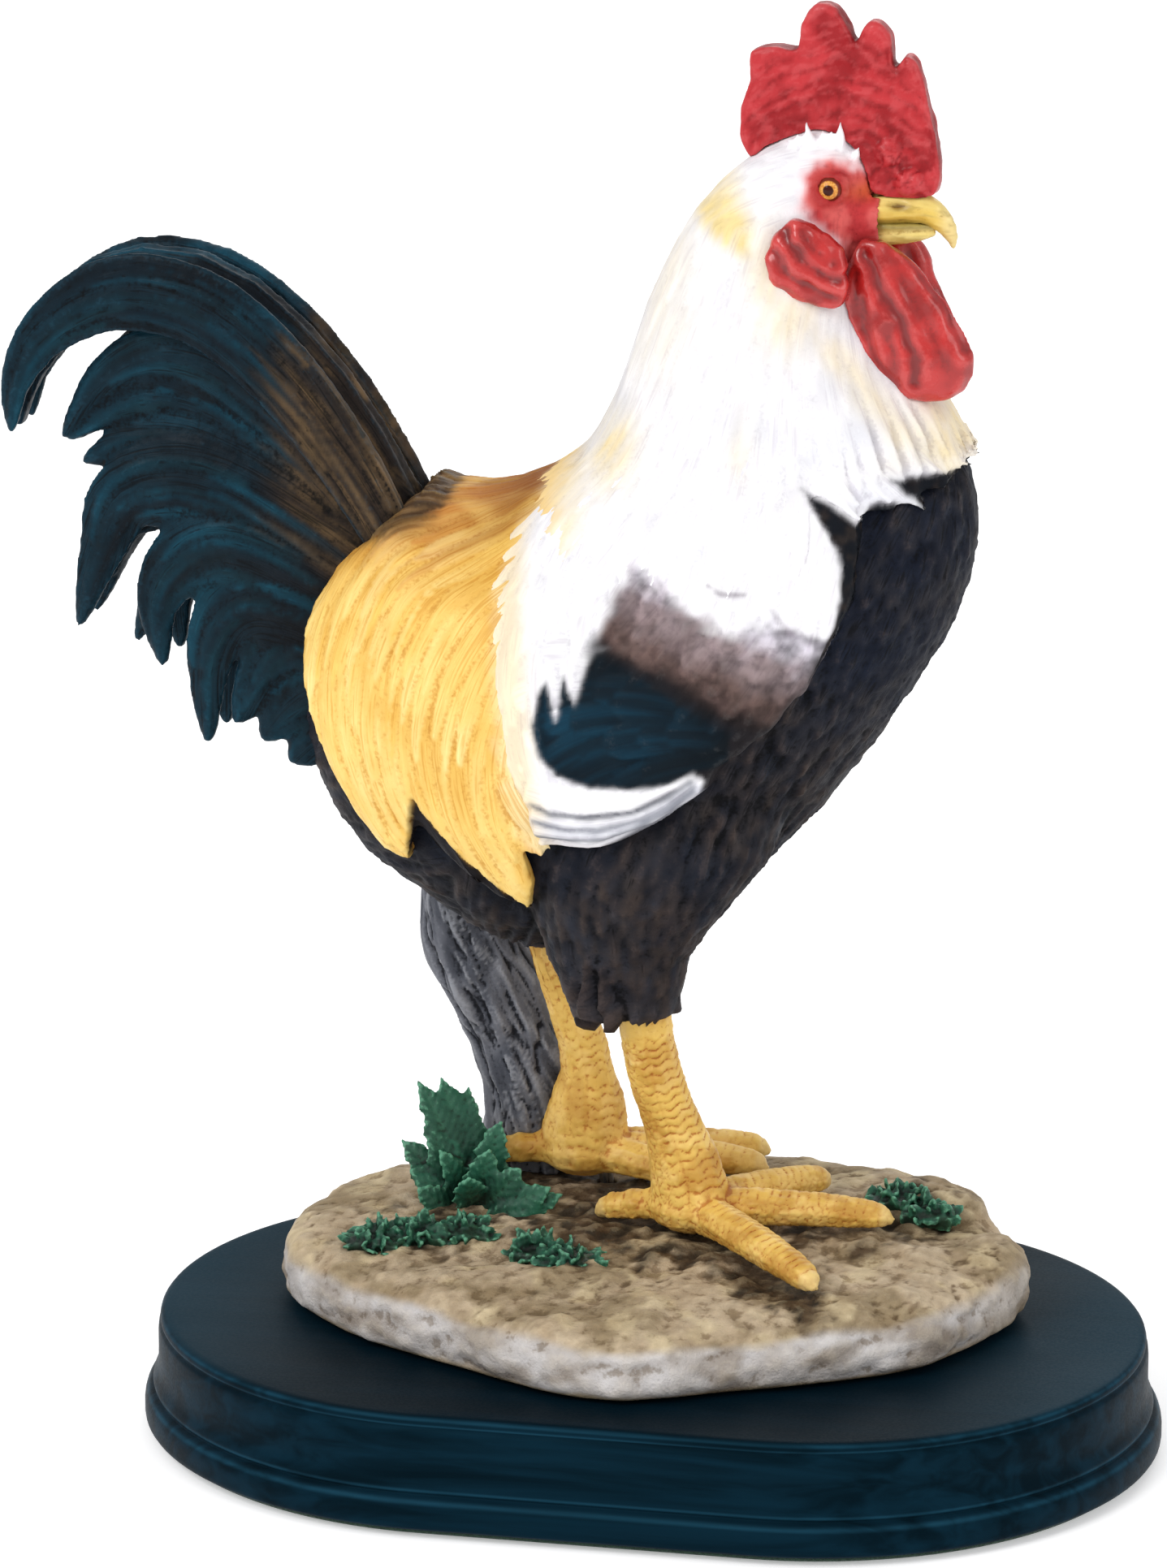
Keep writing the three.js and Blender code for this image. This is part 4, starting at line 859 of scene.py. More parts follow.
body_bare = blend(colour("#12161f"), colour("#1e2029"), ramp(rough(spot, 8), -0.2, 0.3))
tint, lane, across, share = fluff.dress(body, 1.2, body_bare)
barb = rough(lane * (1, 0.33, 1), (0.8, 1.0, 1.0), 2)
rear_thigh = np.exp(-(((spot[:, 2] - 85) / 10) ** 2)) * ramp(-body.normals()[:, 0], 0.0, 0.8) * ramp(spot[:, 1], 6, 0) * ramp(spot[:, 0], -36, -22)
breast = ramp(body.normals()[:, 0], 0.2, 0.7) * ramp(spot[:, 2], 86, 104) * ramp(spot[:, 2], 197, 188)
rear = np.exp(-(((spot[:, 0] + 46) / 9) ** 2 + ((spot[:, 2] - 98) / 11) ** 2))
body.push(0.16 * barb + 0.22 * rough(spot, 1.9, 3) + 5 * rear_thigh - (0.35 + 0.7 * ramp(spot[:, 2], 168, 140) * ramp(spot[:, 2], 106, 120)) * breast - 1.9 * rear)
body.points = settle(body.points)
relief = body.raised(7)
brown = ramp(rough(spot, 17, 3, 2.0) + 0.5 * rough(spot, 4, 3, 5.0) + 0.3 * (spot[:, 0] > -10), -0.1, 0.55)
tint = blend(tint, colour("#42352e"), brown * ramp(relief, -0.2, 0.9) * 0.55)
tint = blend(tint, colour("#0f1826"), ramp(rough(spot, 21, 2, 11.0), 0.0, 0.4) * 0.6)
tint = blend(tint, tint * (0.62, 0.8, 1.08), ramp(spot[:, 2] + 0.8 * spot[:, 0] + 9 * rough(spot, 12, 3), 150, 185) * 0.8)
black_paint = painted(
    "painted_resin_black_feathers", (0.55, 0.8), ("#4c4c58", 0.9), ("#3a302c", 0.35), fine=1.0,
    streak=((2.2, 0.2, 1), "#50505c", 0.8, 0.55), specular=0.12, cloud="#a8a8b8",
)
body.make("black_breast_and_thighs", black_paint, "resin_black", ["body"], tint, relief, lane)


# Tail: a fan of curved plumes cast in one piece, with one long sickle plume glued on each side.
# Each plume is ribbed with long strands, painted blue-black and teal, brown near the rump.
def smooth_line(rows, count):
    """Evenly numbered points of a smooth line through the rows."""
    rows = np.array(rows, float)
    t = np.linspace(0, len(rows) - 1, count)
    i = np.minimum(t.astype(int), len(rows) - 2)
    f = (t - i)[:, None]
    before, here, after, later = rows[np.maximum(i - 1, 0)], rows[i], rows[i + 1], rows[np.minimum(i + 2, len(rows) - 1)]
    return here + 0.5 * f * (after - before + f * (2 * before - 5 * here + 4 * after - later + f * (3 * (here - after) + later - before)))


def plume(bed, line, y, width, thick, side, strands):
    steps = 26
    t = np.linspace(0, 1, steps)
    xz = smooth_line(line, steps)
    path = np.stack([xz[:, 0], BIRD_Y + side * y * (1 - 0.35 * t), xz[:, 1]], axis=1)
    out = np.tile((0.0, side, 0.0), (steps, 1))
    swell = 0.62 + 0.38 * np.sin(np.minimum(t / 0.45, 1) * math.pi / 2)
    ends = np.clip((1.02 - t) / 0.5, 0, 1) ** 0.8
    half = width / 2 * 1.1 * swell * ends
    high = thick * (1 - 0.55 * t)
    bed.lay(path, out, half, high, high * 0.8, colour("#0a0c12"), colour("#0c2733"), crown=0.55, ridge=0.4)
    along = np.gradient(path, axis=0)
    along /= np.linalg.norm(along, axis=1, keepdims=True)
    across = np.cross(along, out)
    for k in range(strands):
        from_t = rng.uniform(-0.1, 0.68)
        to_t = min(from_t + rng.uniform(0.28, 0.5), 1.0)
        u0 = rng.uniform(-0.92, 0.92)
        at = np.linspace(max(from_t, 0), to_t, 12)
        u = u0 * (1 - 0.25 * ramp(at, 0.6, 1.0)) + rng.uniform(-0.06, 0.06) * np.linspace(-1, 1, 12)
        pick = lambda values: np.stack([np.interp(at, t, values[:, c]) for c in range(3)], axis=1)
        h, w = np.interp(at, t, high), np.interp(at, t, half)
        line_at = pick(path) + pick(across) * (u * w)[:, None] + out[:12] * (h * (1 - 0.55 * u * u))[:, None]
        tone = rng.uniform(0, 1)
        root = blend(colour("#080f16"), colour("#0b2b35"), tone)[0]
        tip = blend(colour("#091c27"), colour("#0d3f50"), tone)[0]
        bed.lay(line_at, out[:12], rng.uniform(0.5, 1.1) * taper(11, "pointed"), rng.uniform(0.25, 0.5), 0.9, root, tip, crown=0.5)


TAIL_BROWN = [(-70, 183), (-67, 203), (-58.6, 210), (-46, 197), (-36, 182), (-42, 171), (-48, 160), (-56, 158), (-62, 164), (-68, 171)]


def tail_piece(name, node, bed, voxel):
    tail = Casting([bed.solid()], voxel)
    tail.smooth(2)
    tint, lane, across, share = bed.dress(tail, 1.5, colour("#0b1018"))
    tail.push(0.1 * rough(lane * (1, 0.12, 1), (0.55, 1.0, 1.0), 2) + 0.12 * rough(tail.points, 1.6, 2))
    relief = tail.raised(5)
    spot = tail.points
    lit = ramp(tail.normals()[:, 2], -0.1, 0.8) * ramp(rough(spot, (24, 12, 11), 2, 3.0), -0.25, 0.3)
    tint = blend(tint, colour("#125166"), lit * ramp(-spot[:, 0], 56, 78) * 0.5)
    strand = ramp(rough(lane * (1, 0.03, 1), (0.8, 1.0, 1.0), 3, 4.0), -0.05, 0.4)
    rump = ramp(depth_in(TAIL_BROWN, spot[:, 0], spot[:, 2]) + 6 * rough(lane * (1, 0.03, 1), (0.9, 1.0, 1.0), 2), -5, 6)
    tint = blend(tint, blend(colour("#2a211c"), colour("#7a6040"), strand * 0.8), rump * 0.85)
    tail.points = settle(tail.points)
    tail.make(name, teal_paint, "resin_teal", [node], tint, relief, lane)


teal_paint = painted(
    "painted_resin_teal_feathers", (0.4, 0.62), ("#4a5862", 0.9), ("#163442", 0.35), fine=0.6,
    streak=((2.6, 0.1, 1), "#55636c", 0.8, 0.4), specular=0.1, cloud="#9aa6b0",
)
FAN = (
    (((-46, 162), (-62, 182.5), (-79, 196.8), (-92, 199.6), (-103, 194), (-110.6, 182.8)), 6.4, 12.5),
    (((-46, 160), (-64, 177.6), (-83, 189.6), (-98, 190), (-109.6, 182.6)), 5.4, 11.5),
    (((-46, 158), (-66, 173), (-85, 182), (-98, 182), (-106.8, 178.6)), 6.6, 12.5),
    (((-46, 154), (-66, 167), (-84, 175.6), (-98, 173), (-103.4, 162), (-107.8, 148)), 8.2, 15),
    (((-46, 149), (-64, 160), (-79, 165), (-88.2, 160.6), (-92.6, 152.6), (-91.8, 141.4)), 9.4, 14),
    (((-46, 144), (-61, 152), (-75, 154), (-82.4, 144.6), (-83.4, 127.2)), 10, 14.5),
    (((-46, 142), (-58, 147.4), (-69, 145), (-78, 131.4)), 10.2, 18),
    (((-45, 137), (-55, 140.6), (-65, 137.4), (-73, 128.4)), 9.8, 18),
    (((-44, 129), (-52, 132.6), (-60.4, 130.6), (-67.8, 124.4)), 9.4, 18),
)
MAIN_SICKLE = ((-45, 164), (-56.2, 182.4), (-68.6, 198), (-83.4, 209.2), (-99.4, 211), (-112.2, 203.8), (-118.6, 193.8), (-119.8, 184))
fan = Plumage()
for side in (-1, 1):
    for line, y, width in FAN:
        plume(fan, line, y, width, 3.0, side, 13)
    for (line, y, width), further in zip(FAN[3:7], (0.02, 0.1, 0.04, 0.0)):
        lower = [(x + further * (x + 46), z - 5.5 * i / 3) for i, (x, z) in enumerate(line[:-1])]
        plume(fan, lower, y - 2.5, width * 0.7, 2.2, side, 6)
core = [(-44, BIRD_Y, 154), (-60, BIRD_Y, 164), (-75, BIRD_Y, 172), (-88, BIRD_Y, 178), (-98, BIRD_Y, 180)]
for side in (-1, 1):
    fan.lay(core, [(0, side, 0)] * 5, (15, 20, 17, 12, 5), (9, 10, 8, 5, 2.6), 1, colour("#0a0c12"), colour("#0a141c"), crown=0.7)
comb_line = smooth_line(MAIN_SICKLE, 14)
for side in (-1, 1):
    across = np.interp(np.linspace(0, 1, 14), (0, 0.2, 0.45, 0.6, 0.85, 1), (4.8, 6.9, 7.7, 6.8, 3.2, 0.6))
    fan.lay([(x, BIRD_Y, z) for x, z in comb_line], [(0, side, 0)] * 14, across, np.linspace(5.0, 2.6, 14), 1, colour("#0a0c12"), colour("#0a1a24"), crown=0.5)
    plume(fan, [(x, z - 0.6) for x, z in MAIN_SICKLE[:-1]], 3.4, 10.5, 2.6, side, 9)
tail_piece("tail_plume_fan", "tail_fan", fan, 0.55)
for side, name in ((-1, "right"), (1, "left")):
    sickle = Plumage()
    plume(sickle, MAIN_SICKLE, 9.6, 13.6, 2.6, side, 26)
    tail_piece("sickle_plume_" + name, "sickle_" + name, sickle, 0.5)


# Saddle: long pointed hackles that fall over each flank from the back, cast with their tips free,
# painted golden yellow over orange, brown along the spine.
SADDLE_EDGE = [
    (-12.6, 188), (-17.4, 182), (-20.8, 174), (-22, 162), (-21.8, 148), (-20, 134), (-18, 125), (-15, 117), (-19.6, 118),
    (-17.6, 111), (-18.8, 105.4), (-24, 106.6), (-33, 113.6), (-38.6, 120.8), (-41.4, 112.6), (-45, 113.6), (-50.6, 119.8),
    (-56.6, 128.8), (-61, 139.2), (-63, 149.6), (-60, 157.4), (-56, 164), (-50, 169.4), (-44, 176), (-40, 184), (-26, 190), (-12, 192),
]
RUMP_EDGE = [(-36.6, 196), (-37.2, 181), (-38.9, 177.8), (-41.5, 175.1), (-45, 172.1), (-51.5, 168.3), (-56.3, 165.9), (-59.6, 163), (-66, 156), (-80, 160), (-80, 200)]
NOTCH = [
    (-39.7, 125.7), (-41.2, 116), (-41.8, 104), (-17, 103), (-19.4, 106), (-23.1, 108.8), (-28, 113), (-31.8, 116.3), (-35.2, 120.3), (-37.7, 123),
]
SADDLE_TIPS = (
    (-18.6, 105.2), (-22.5, 107.5), (-27, 109.8), (-31, 112.6), (-34, 117), (-43.6, 111.8), (-46.6, 114.6),
    (-50.4, 119.2), (-53.6, 123.4), (-56.6, 128.4), (-59.2, 134), (-61.4, 140), (-62.8, 147), (-40.5, 115.5), (-20, 112),
)


def down_saddle(x, y, z):
    lean = np.interp(z, (104, 118, 132, 150, 168, 186), (0.75, 0.5, 0.05, -0.3, -0.6, -0.9))
    return (lean - 0.012 * (x + 35), 0.0, -1.0)


def up_saddle(x, y, z):
    dx, dy, dz = down_saddle(x, y, z)
    return (-dx, -dy, -dz)


def backwards(path_ways):
    path, ways = path_ways
    return path[::-1], ways[::-1]


def gold(x, z):
    """Root and tip colours of a saddle feather."""
    tone = rng.uniform(0, 1)
    tip = blend(colour("#f0c768"), colour("#f8df96"), tone)[0]
    root = blend(colour("#dcaa4c"), colour("#ecc468"), tone)[0]
    spine = float(ramp(z, 175, 186))
    return blend(root, colour("#8a5226"), spine)[0], blend(tip, colour("#c27d38"), spine * 0.9)[0]


def flank_spots(outline, side):
    """Skin points of one flank inside an outline."""
    x, y, z = skin_parts.points[:, 0], skin_parts.points[:, 1] - BIRD_Y, skin_parts.points[:, 2]
    return skin_parts.points[inside(outline, x, z) & (y * side > 0.5)]


def flank_edge(x, z, side):
    """Point of the skin beside a place seen from the side."""
    hit = skin.ray_cast(Vector((x, BIRD_Y + side * 60, z)), Vector((0, -side, 0)), 60)[0]
    return np.array(hit if hit is not None else skin.find_nearest(Vector((x, BIRD_Y + side * 12, z)))[0])


gold_paint = painted(
    "painted_resin_gold_feathers", (0.45, 0.65), ("#cda45c", 0.6), ("#5e5234", 0.5), fine=0.5,
    streak=((2.3, 0.07, 1), "#dcbc80", 0.6, 0.35), specular=0.15, cloud="#efe2c4",
)
for side, name in ((-1, "right"), (1, "left")):
    hackle = Plumage()
    for x, z in SADDLE_TIPS:
        for k in range(2):
            tip_spot = flank_edge(x + rng.uniform(-1.2, 1.2) * k, z + 3.5 * k, side)
            size = rng.uniform(32, 46)
            path, ways = trail(tip_spot, up_saddle, size, 12)
            out = ~inside(SADDLE_EDGE, path[:, 0], path[:, 2]) & (np.arange(13) > 2)
            keep = max(int(np.argmax(out)) if out.any() else 13, 4)
            path, ways = path[:keep][::-1], ways[:keep][::-1]
            rises = np.linspace(0.2, rng.uniform(1.0, 1.5), keep)
            hackle.lay(path, ways, rng.uniform(2.0, 2.8) * taper(keep - 1, "pointed"), rises, 1.0, *gold(x, z + 20), crown=0.45)
    t = np.linspace(0, 1, 9)[:, None]
    curl = flank_edge(-22, 132, side) * (1 - t) + flank_edge(-14.2, 118.2, side) * t + np.sin(math.pi * t**0.8) * (0, 3.0 * side, 0)
    hackle.lay(curl, [(0, side, 0)] * 9, 2.0 * taper(8, "pointed"), np.linspace(0.3, 1.3, 9), 1.2, *gold(-16, 140), crown=0.45)
    for start in scattered(flank_spots(SADDLE_EDGE, side), 3.4):
        size = rng.uniform(18, 34)
        path, ways = trail(start, down_saddle, size, 10)
        ok = inside(SADDLE_EDGE, path[:, 0], path[:, 2])
        keep = int(np.argmin(ok)) if not ok.all() else 11
        if keep < 4:
            continue
        path, ways = path[:keep], ways[:keep]
        rises = np.linspace(0.2, rng.uniform(0.6, 1.2), keep)
        hackle.lay(path, ways, rng.uniform(1.5, 2.5) * taper(keep - 1, "pointed"), rises, 1.0, *gold(start[0], start[2]), crown=0.45)
    saddle = Casting([solid_of("saddle_" + name, 0.15), hackle.solid()], 0.45)
    saddle.smooth(1)
    tint, lane, across, share = hackle.dress(saddle, 1.2, colour("#d99c3c"))
    notch = ramp(depth_in(NOTCH, saddle.points[:, 0], saddle.points[:, 2]) + 0.4 * rough(saddle.points, 2), -0.3, 0.4)
    saddle.push(0.14 * rough(lane * (1, 0.09, 1), (0.6, 1.0, 1.0), 2) - 0.9 * notch)
    relief = saddle.raised(6)
    spot = saddle.points.copy()
    tint = blend(tint, colour("#fbd983"), ramp(rough(spot, 14, 2), 0.0, 0.4) * 0.4)
    front = np.interp(spot[:, 2], (105, 118, 125, 134, 148, 162, 174, 182), (-9, -15, -17.6, -19.6, -21.4, -21.6, -20.4, -17))
    tint = blend(tint, colour("#fdf2cf"), ramp(spot[:, 0] - front + 1.5 * rough(spot, 4), -4.5, 0.5) * 0.6)
    ragged = 1.1 * rough(lane * (1, 0.04, 1), (0.8, 1.0, 1.0), 2, 3.0)
    rump = ramp(depth_in(RUMP_EDGE, spot[:, 0], spot[:, 2]) + ragged, -1.2, 1.0)
    strand = ramp(rough(lane * (1, 0.05, 1), (0.9, 1.0, 1.0), 3, 4.0), -0.05, 0.4)
    tint = blend(tint, colour("#a8662c"), ramp(depth_in(RUMP_EDGE, spot[:, 0], spot[:, 2]) + 2 * ragged, -5, 0) * 0.4)
    tint = blend(tint, blend(colour("#2a211c"), colour("#7a6040"), strand * 0.8), rump * 0.95)
    tint = blend(tint, colour("#15131a"), notch)
    saddle.points = settle(saddle.points)
    saddle.make("golden_saddle_" + name, gold_paint, "resin_gold", ["saddle_" + name], tint, relief, lane)


# Wings: folded, cast with a white shoulder, a band of grey-brown down, dark teal coverts and white
# flight feathers striped with grey. The feathers point to the tail.
WING_EDGE = [
    (-17, 182), (-20.4, 174), (-21.6, 162), (-21.4, 148), (-19.6, 134), (-17.6, 125), (-15.6, 121.2), (-6, 120.6),
    (6, 125.6), (15.6, 132.6), (15.8, 135.4), (26.4, 143.4), (35, 154.6), (40.4, 166), (41.2, 178), (38, 188), (20, 194), (0, 190),
]
TEAL = [
    (-5, 157.8), (2.3, 153.3), (10.4, 148.8), (16.1, 145.9), (20, 142.7), (19, 136.1), (13.7, 135.4), (8, 132.6), (2.4, 131.5),
    (-5.8, 131.4), (-11.5, 133.5), (-14.7, 136.7), (-15.9, 142.4), (-15, 147.5), (-13.5, 150.8), (-12.4, 146.4), (-11.5, 143.3),
    (-10.9, 147.5), (-10.3, 151.8), (-9.2, 149), (-8.2, 146.3), (-7.4, 149), (-6.6, 152.5),
]
DOWN = [
    (1.3, 171.1), (5.5, 170.6), (9.7, 168.7), (12.2, 163.1), (21, 161.1), (28.2, 162.3), (35.4, 159.5), (33.9, 153.7), (27.5, 143.5),
    (24.3, 142.9), (18.7, 144.6), (14.6, 147.7), (8.2, 152.2), (2.5, 154), (-6, 156.8), (-4.2, 161), (-1.6, 166),
]
WHITE = [
    (-30, 210), (60, 210), (60, 162), (36, 160), (28.2, 162.3), (21, 159), (8, 160), (0, 158), (-5, 156), (-6, 145), (-11.5, 136), (-5.8, 132),
    (2.4, 132), (8, 133), (13.3, 135.4), (15, 133.6), (13.7, 130.7), (9.3, 127.6), (3.6, 124.3), (-4.6, 119), (-13, 116), (-30, 114),
]
QUILLS = (
    ((-17.4, 133.5), (-11.5, 132.3), (-5.8, 130.8), (2.4, 130.8), (8, 132.2), (13.3, 135)),
    ((-16.4, 127.6), (-12.5, 126.1), (-6, 125.9), (2.2, 127.3), (7.8, 130.1), (12.8, 133.6)),
    ((-15.9, 124.4), (-10.4, 123.3), (-3.9, 123.7), (3.8, 126), (8.7, 128.6), (13.2, 132.4)),
    ((-15.6, 121.4), (-9.6, 121.2), (-2.1, 122.2), (3.8, 124.9), (9, 128), (13.4, 131.6)),
    ((-15.4, 119), (-10, 118.6), (-3, 120), (3.8, 123.7), (9.3, 127.2), (13.7, 130.7)),
)
BIB = [
    (30.6, 185.6), (36.3, 183), (40.7, 179.7), (42.7, 182.7), (46.4, 182.3), (50.8, 179.9), (47.9, 184.2), (45.6, 186.5), (50.9, 186.6), (56.2, 186.3),
    (64, 186), (64, 139), (27, 139), (31.1, 146.1), (34.3, 153.7), (36.3, 158.6), (37.9, 162.2), (38.6, 166.8), (38.6, 172.1), (37.6, 175.8), (35.4, 178.8), (33, 182.4),
]
MARKS = (((14.7, 169.6), (18, 167.9), (22, 168)), ((26.8, 165.4), (28.8, 163), (30.8, 161.1)))


def down_shoulder(x, y, z):
    return (-0.28 - 0.004 * (30 - x), 0.0, -1.0)


def back_wing(x, y, z):
    return (-1.0, 0.0, -0.5 + 0.035 * (z - 138) + 0.02 * (x + 4))


def down_band(x, y, z):
    bend = np.interp(z, (122, 130, 142, 160, 185), (0.9, 0.5, 0.15, -0.05, -0.2))
    return (bend, 0.0, -1.0)


white_paint = painted(
    "painted_resin_white_feathers", (0.5, 0.7), ("#ccc9d0", 0.45), ("#2c2c2c", 0.5), fine=0.4,
    streak=((2.2, 0.1, 1), "#dfd9e0", 0.45, 0.25), specular=0.1, cloud="#ecebf0",
)
for side, name in ((-1, "right"), (1, "left")):
    plumes = Plumage()
    # root_shade greys the root of each feather: painted shade under the tips of the feathers above.
    root_shade, plain = np.full(3, 0.86), np.ones(3)

    def wing_feather(start, steer, length, width, rise, kind, steps=8, shade=1.0):
        feather(plumes, start, steer, length, width, rise, root_shade * shade, plain * shade, kind, steps, 1.0, 0.4)

    for start in scattered(flank_spots(WING_EDGE, side), 2.7):
        x, z = start[0], start[2]
        if inside(TEAL, x, z)[0] or line_gap(QUILLS[2], np.array([x]), np.array([z]))[0] < 5:
            continue
        if inside(DOWN, x, z)[0] or not inside(WHITE, x, z)[0]:
            wing_feather(start, lambda a, b, c: (-0.6, 0, -0.85), rng.uniform(4, 7), rng.uniform(1.8, 3.0), rng.uniform(0.5, 1.0), "ragged", 5, rng.uniform(0.7, 1.25))
            continue
        limit = np.interp(x, (-6, 1, 9, 12, 20, 36), (159, 170, 167, 163, 161, 159)) if x > -6 else 0
        size = min(rng.uniform(12, 20) if x < -6 else rng.uniform(9, 14), max(4.0, (z - limit) * 1.1))
        wing_feather(start, down_band if x < -6 else down_shoulder, size, rng.uniform(2.6, 4.0), rng.uniform(0.25, 0.5), "pointed", 7)
    for start in sorted(scattered(flank_spots(TEAL, side), 4.6).tolist(), key=lambda p: p[0]):
        wing_feather(start, back_wing, min(rng.uniform(11, 14), max(6.0, (start[0] + 16) * 0.9)), rng.uniform(5.4, 6.8), rng.uniform(0.6, 1.0), "round", 8, rng.uniform(0.8, 1.2))
    for upper, lower in zip(QUILLS[:-1], QUILLS[1:]):
        high, low = smooth_line(upper[::-1], 18), smooth_line(lower[::-1], 18)
        middle, half = (high + low) / 2, np.linalg.norm(high - low, axis=1) / 2
        spots = [flank_edge(x, z, side) for x, z in middle]
        ways = [tuple(skin.find_nearest(Vector(p))[1]) for p in spots]
        plumes.lay(spots, ways, np.maximum(half * 0.92, 0.35), np.linspace(0.5, 1.3, 18), 1.0, plain * 0.96, plain, crown=0.45)
    for x, z, size in ((-12.6, 159, 15.4), (-9, 160, 13.4), (-14.8, 158, 22), (-16.6, 152, 24), (-17.8, 148, 22), (-7.2, 163, 9), (-18.4, 143, 20)):
        wing_feather(flank_edge(x, z, side), down_band, size, 3.0, 1.3, "pointed", 10)
    wing = Casting([solid_of("wing_" + name, 0.15), plumes.solid()], 0.45)
    wing.smooth(1)
    spot = wing.points.copy()
    shade, lane, across, share = plumes.dress(wing, 1.2, plain * 0.95)
    bib = ramp(depth_in(BIB, spot[:, 0], spot[:, 2]) + 0.3 * rough(spot, 3), -0.4, 0.5)
    wing.push(0.08 * rough(lane * (1, 0.12, 1), (0.6, 1.0, 1.0), 2) - 0.7 * bib)
    relief = wing.raised(6)
    x, z = spot[:, 0], spot[:, 2]
    ragged = 0.4 * rough(lane * (1, 0.15, 1), (0.7, 1.0, 1.0), 2, 3.0)
    tint = np.tile(colour("#1d1a1d"), (len(spot), 1))
    tint = blend(tint, colour("#f7f6f8"), ramp(depth_in(WHITE, x, z) + ragged, -0.4, 0.4))
    tint = blend(tint, colour("#f7dc9c"), ramp(-x - 0.12 * (z - 150) + 2 * ragged, 14.5, 20) * 0.6)
    level = z + 0.42 * x + 2.5 * rough(spot, 5, 3)
    downy = blend(blend(colour("#241d1d"), colour("#5c4a45"), ramp(level, 153.5, 159)), blend(colour("#847576"), colour("#d2cdd6"), ramp(level, 166.5, 173.5)), ramp(level, 158, 167))
    curls = ramp(np.abs(rough(spot, (3.8, 3.8, 3), 3, 4.0)), 0.15, 0.0) + 0.6 * ramp(np.abs(rough(spot, (2.2, 2.2, 1.8), 2, 14.0)), 0.13, 0.0)
    downy = downy * (1.18 - 0.62 * np.minimum(curls, 1) + 0.35 * rough(spot, 5, 3, 9.0)).reshape(-1, 1)
    in_down = depth_in(DOWN, x, z)
    tint = blend(tint, downy, ramp(in_down + (0.7 + 1.9 * ramp(level, 161, 168)) * rough(spot, (6, 6, 5), 3), -0.8 - 1.6 * ramp(level, 161, 168), 2.0))
    soft = 0.35 + 1.5 * ramp(in_down, -2.5, 0)
    strand = ramp(rough(lane * (1, 0.05, 1), (1.1, 1.0, 1.0), 2, 5.0), -0.3, 0.35)
    lit = np.exp(-(((x + 7) / 13) ** 2 + ((z - 141) / 8) ** 2)) + 0.35 * np.exp(-(((x - 6) / 12) ** 2 + ((z - 143) / 9) ** 2))
    night = blend(colour("#060f16"), colour("#0b3345"), np.clip(lit * (0.35 + 0.75 * strand), 0, 1))
    tint = blend(tint, night, np.clip((depth_in(TEAL, x, z) + ragged + soft) / (2 * soft), 0, 1))
    for k, line in enumerate(QUILLS[1:4]):
        stripe = ramp(line_gap(line, x, z) + 0.2 * rough(spot, 3), 0.85 - 0.12 * k, 0.25) * ramp(x, -18, -15)
        tint = blend(tint, colour("#3f4550"), stripe * 0.85)
        # Painted shade: a pale grey band beside each lower stripe, in the gaps between the flight feathers.
        tint = blend(tint, colour("#c2c5cf"), ramp(line_gap(line, x, z), 2.0, 0.8) * (k > 0) * 0.35)
    for line in MARKS:
        tint = blend(tint, colour("#8d848e"), ramp(line_gap(line, x, z) + 0.4 * rough(spot, 2), 0.6, 0.15) * 0.7)
    tint = blend(tint, blend(colour("#0e1219"), colour("#2b2523"), ramp(rough(spot, 3, 3), -0.1, 0.5)), bib)
    wing.points = settle(wing.points)
    wing.make("folded_wing_" + name, white_paint, "resin_white", ["wing_" + name], tint * shade, relief, lane)


# Neck and head: one casting with a cape of long narrow hackles that end in free points over the
# breast and shoulders, painted white and shaded with cream, the bare face pink and pebbled.
CAPE_TIPS = (
    (-20.5, 180), (-19.8, 175.5), (-17, 172), (-13.2, 168.6), (-9.5, 169.5), (-5, 165.6), (-1.5, 166.5), (4, 163.6), (8, 165.2),
    (14, 163.2), (19, 165), (23, 164.8), (28, 168), (31.4, 171), (33.6, 184), (36.4, 183.4), (40, 182), (44, 183.4),
    (48, 184), (51, 186), (54, 186.4), (57.6, 186.6),
)
FACE = [
    (27.4, 235.1), (27.8, 237.9), (29.3, 239.9), (31.8, 240.6), (34.6, 239.6), (37.3, 238), (39.4, 236.4), (42.5, 236), (43.4, 233),
    (43, 228), (42.4, 224), (38.6, 221), (36, 220), (34, 223), (33.9, 226.5), (30.8, 229.1), (28.6, 230.4), (27.5, 232.9),
]
EYE_AT = (31.8, 235.7)


def down_neck(x, y, z):
    if z > 229:
        return (-0.9, 0.0, -0.25 - 0.02 * (240 - z))
    fan_x, fan_z = x - 23, z - 246
    size = math.hypot(fan_x, fan_z)
    low = float(ramp(z, 216, 196))
    return ((fan_x / size) * low + (-0.22) * (1 - low), 0.22 * low * math.copysign(1, y), (fan_z / size) * low - (1 - low))


def up_neck(x, y, z):
    dx, dy, dz = down_neck(x, y, z)
    return (-dx, -dy, -dz)


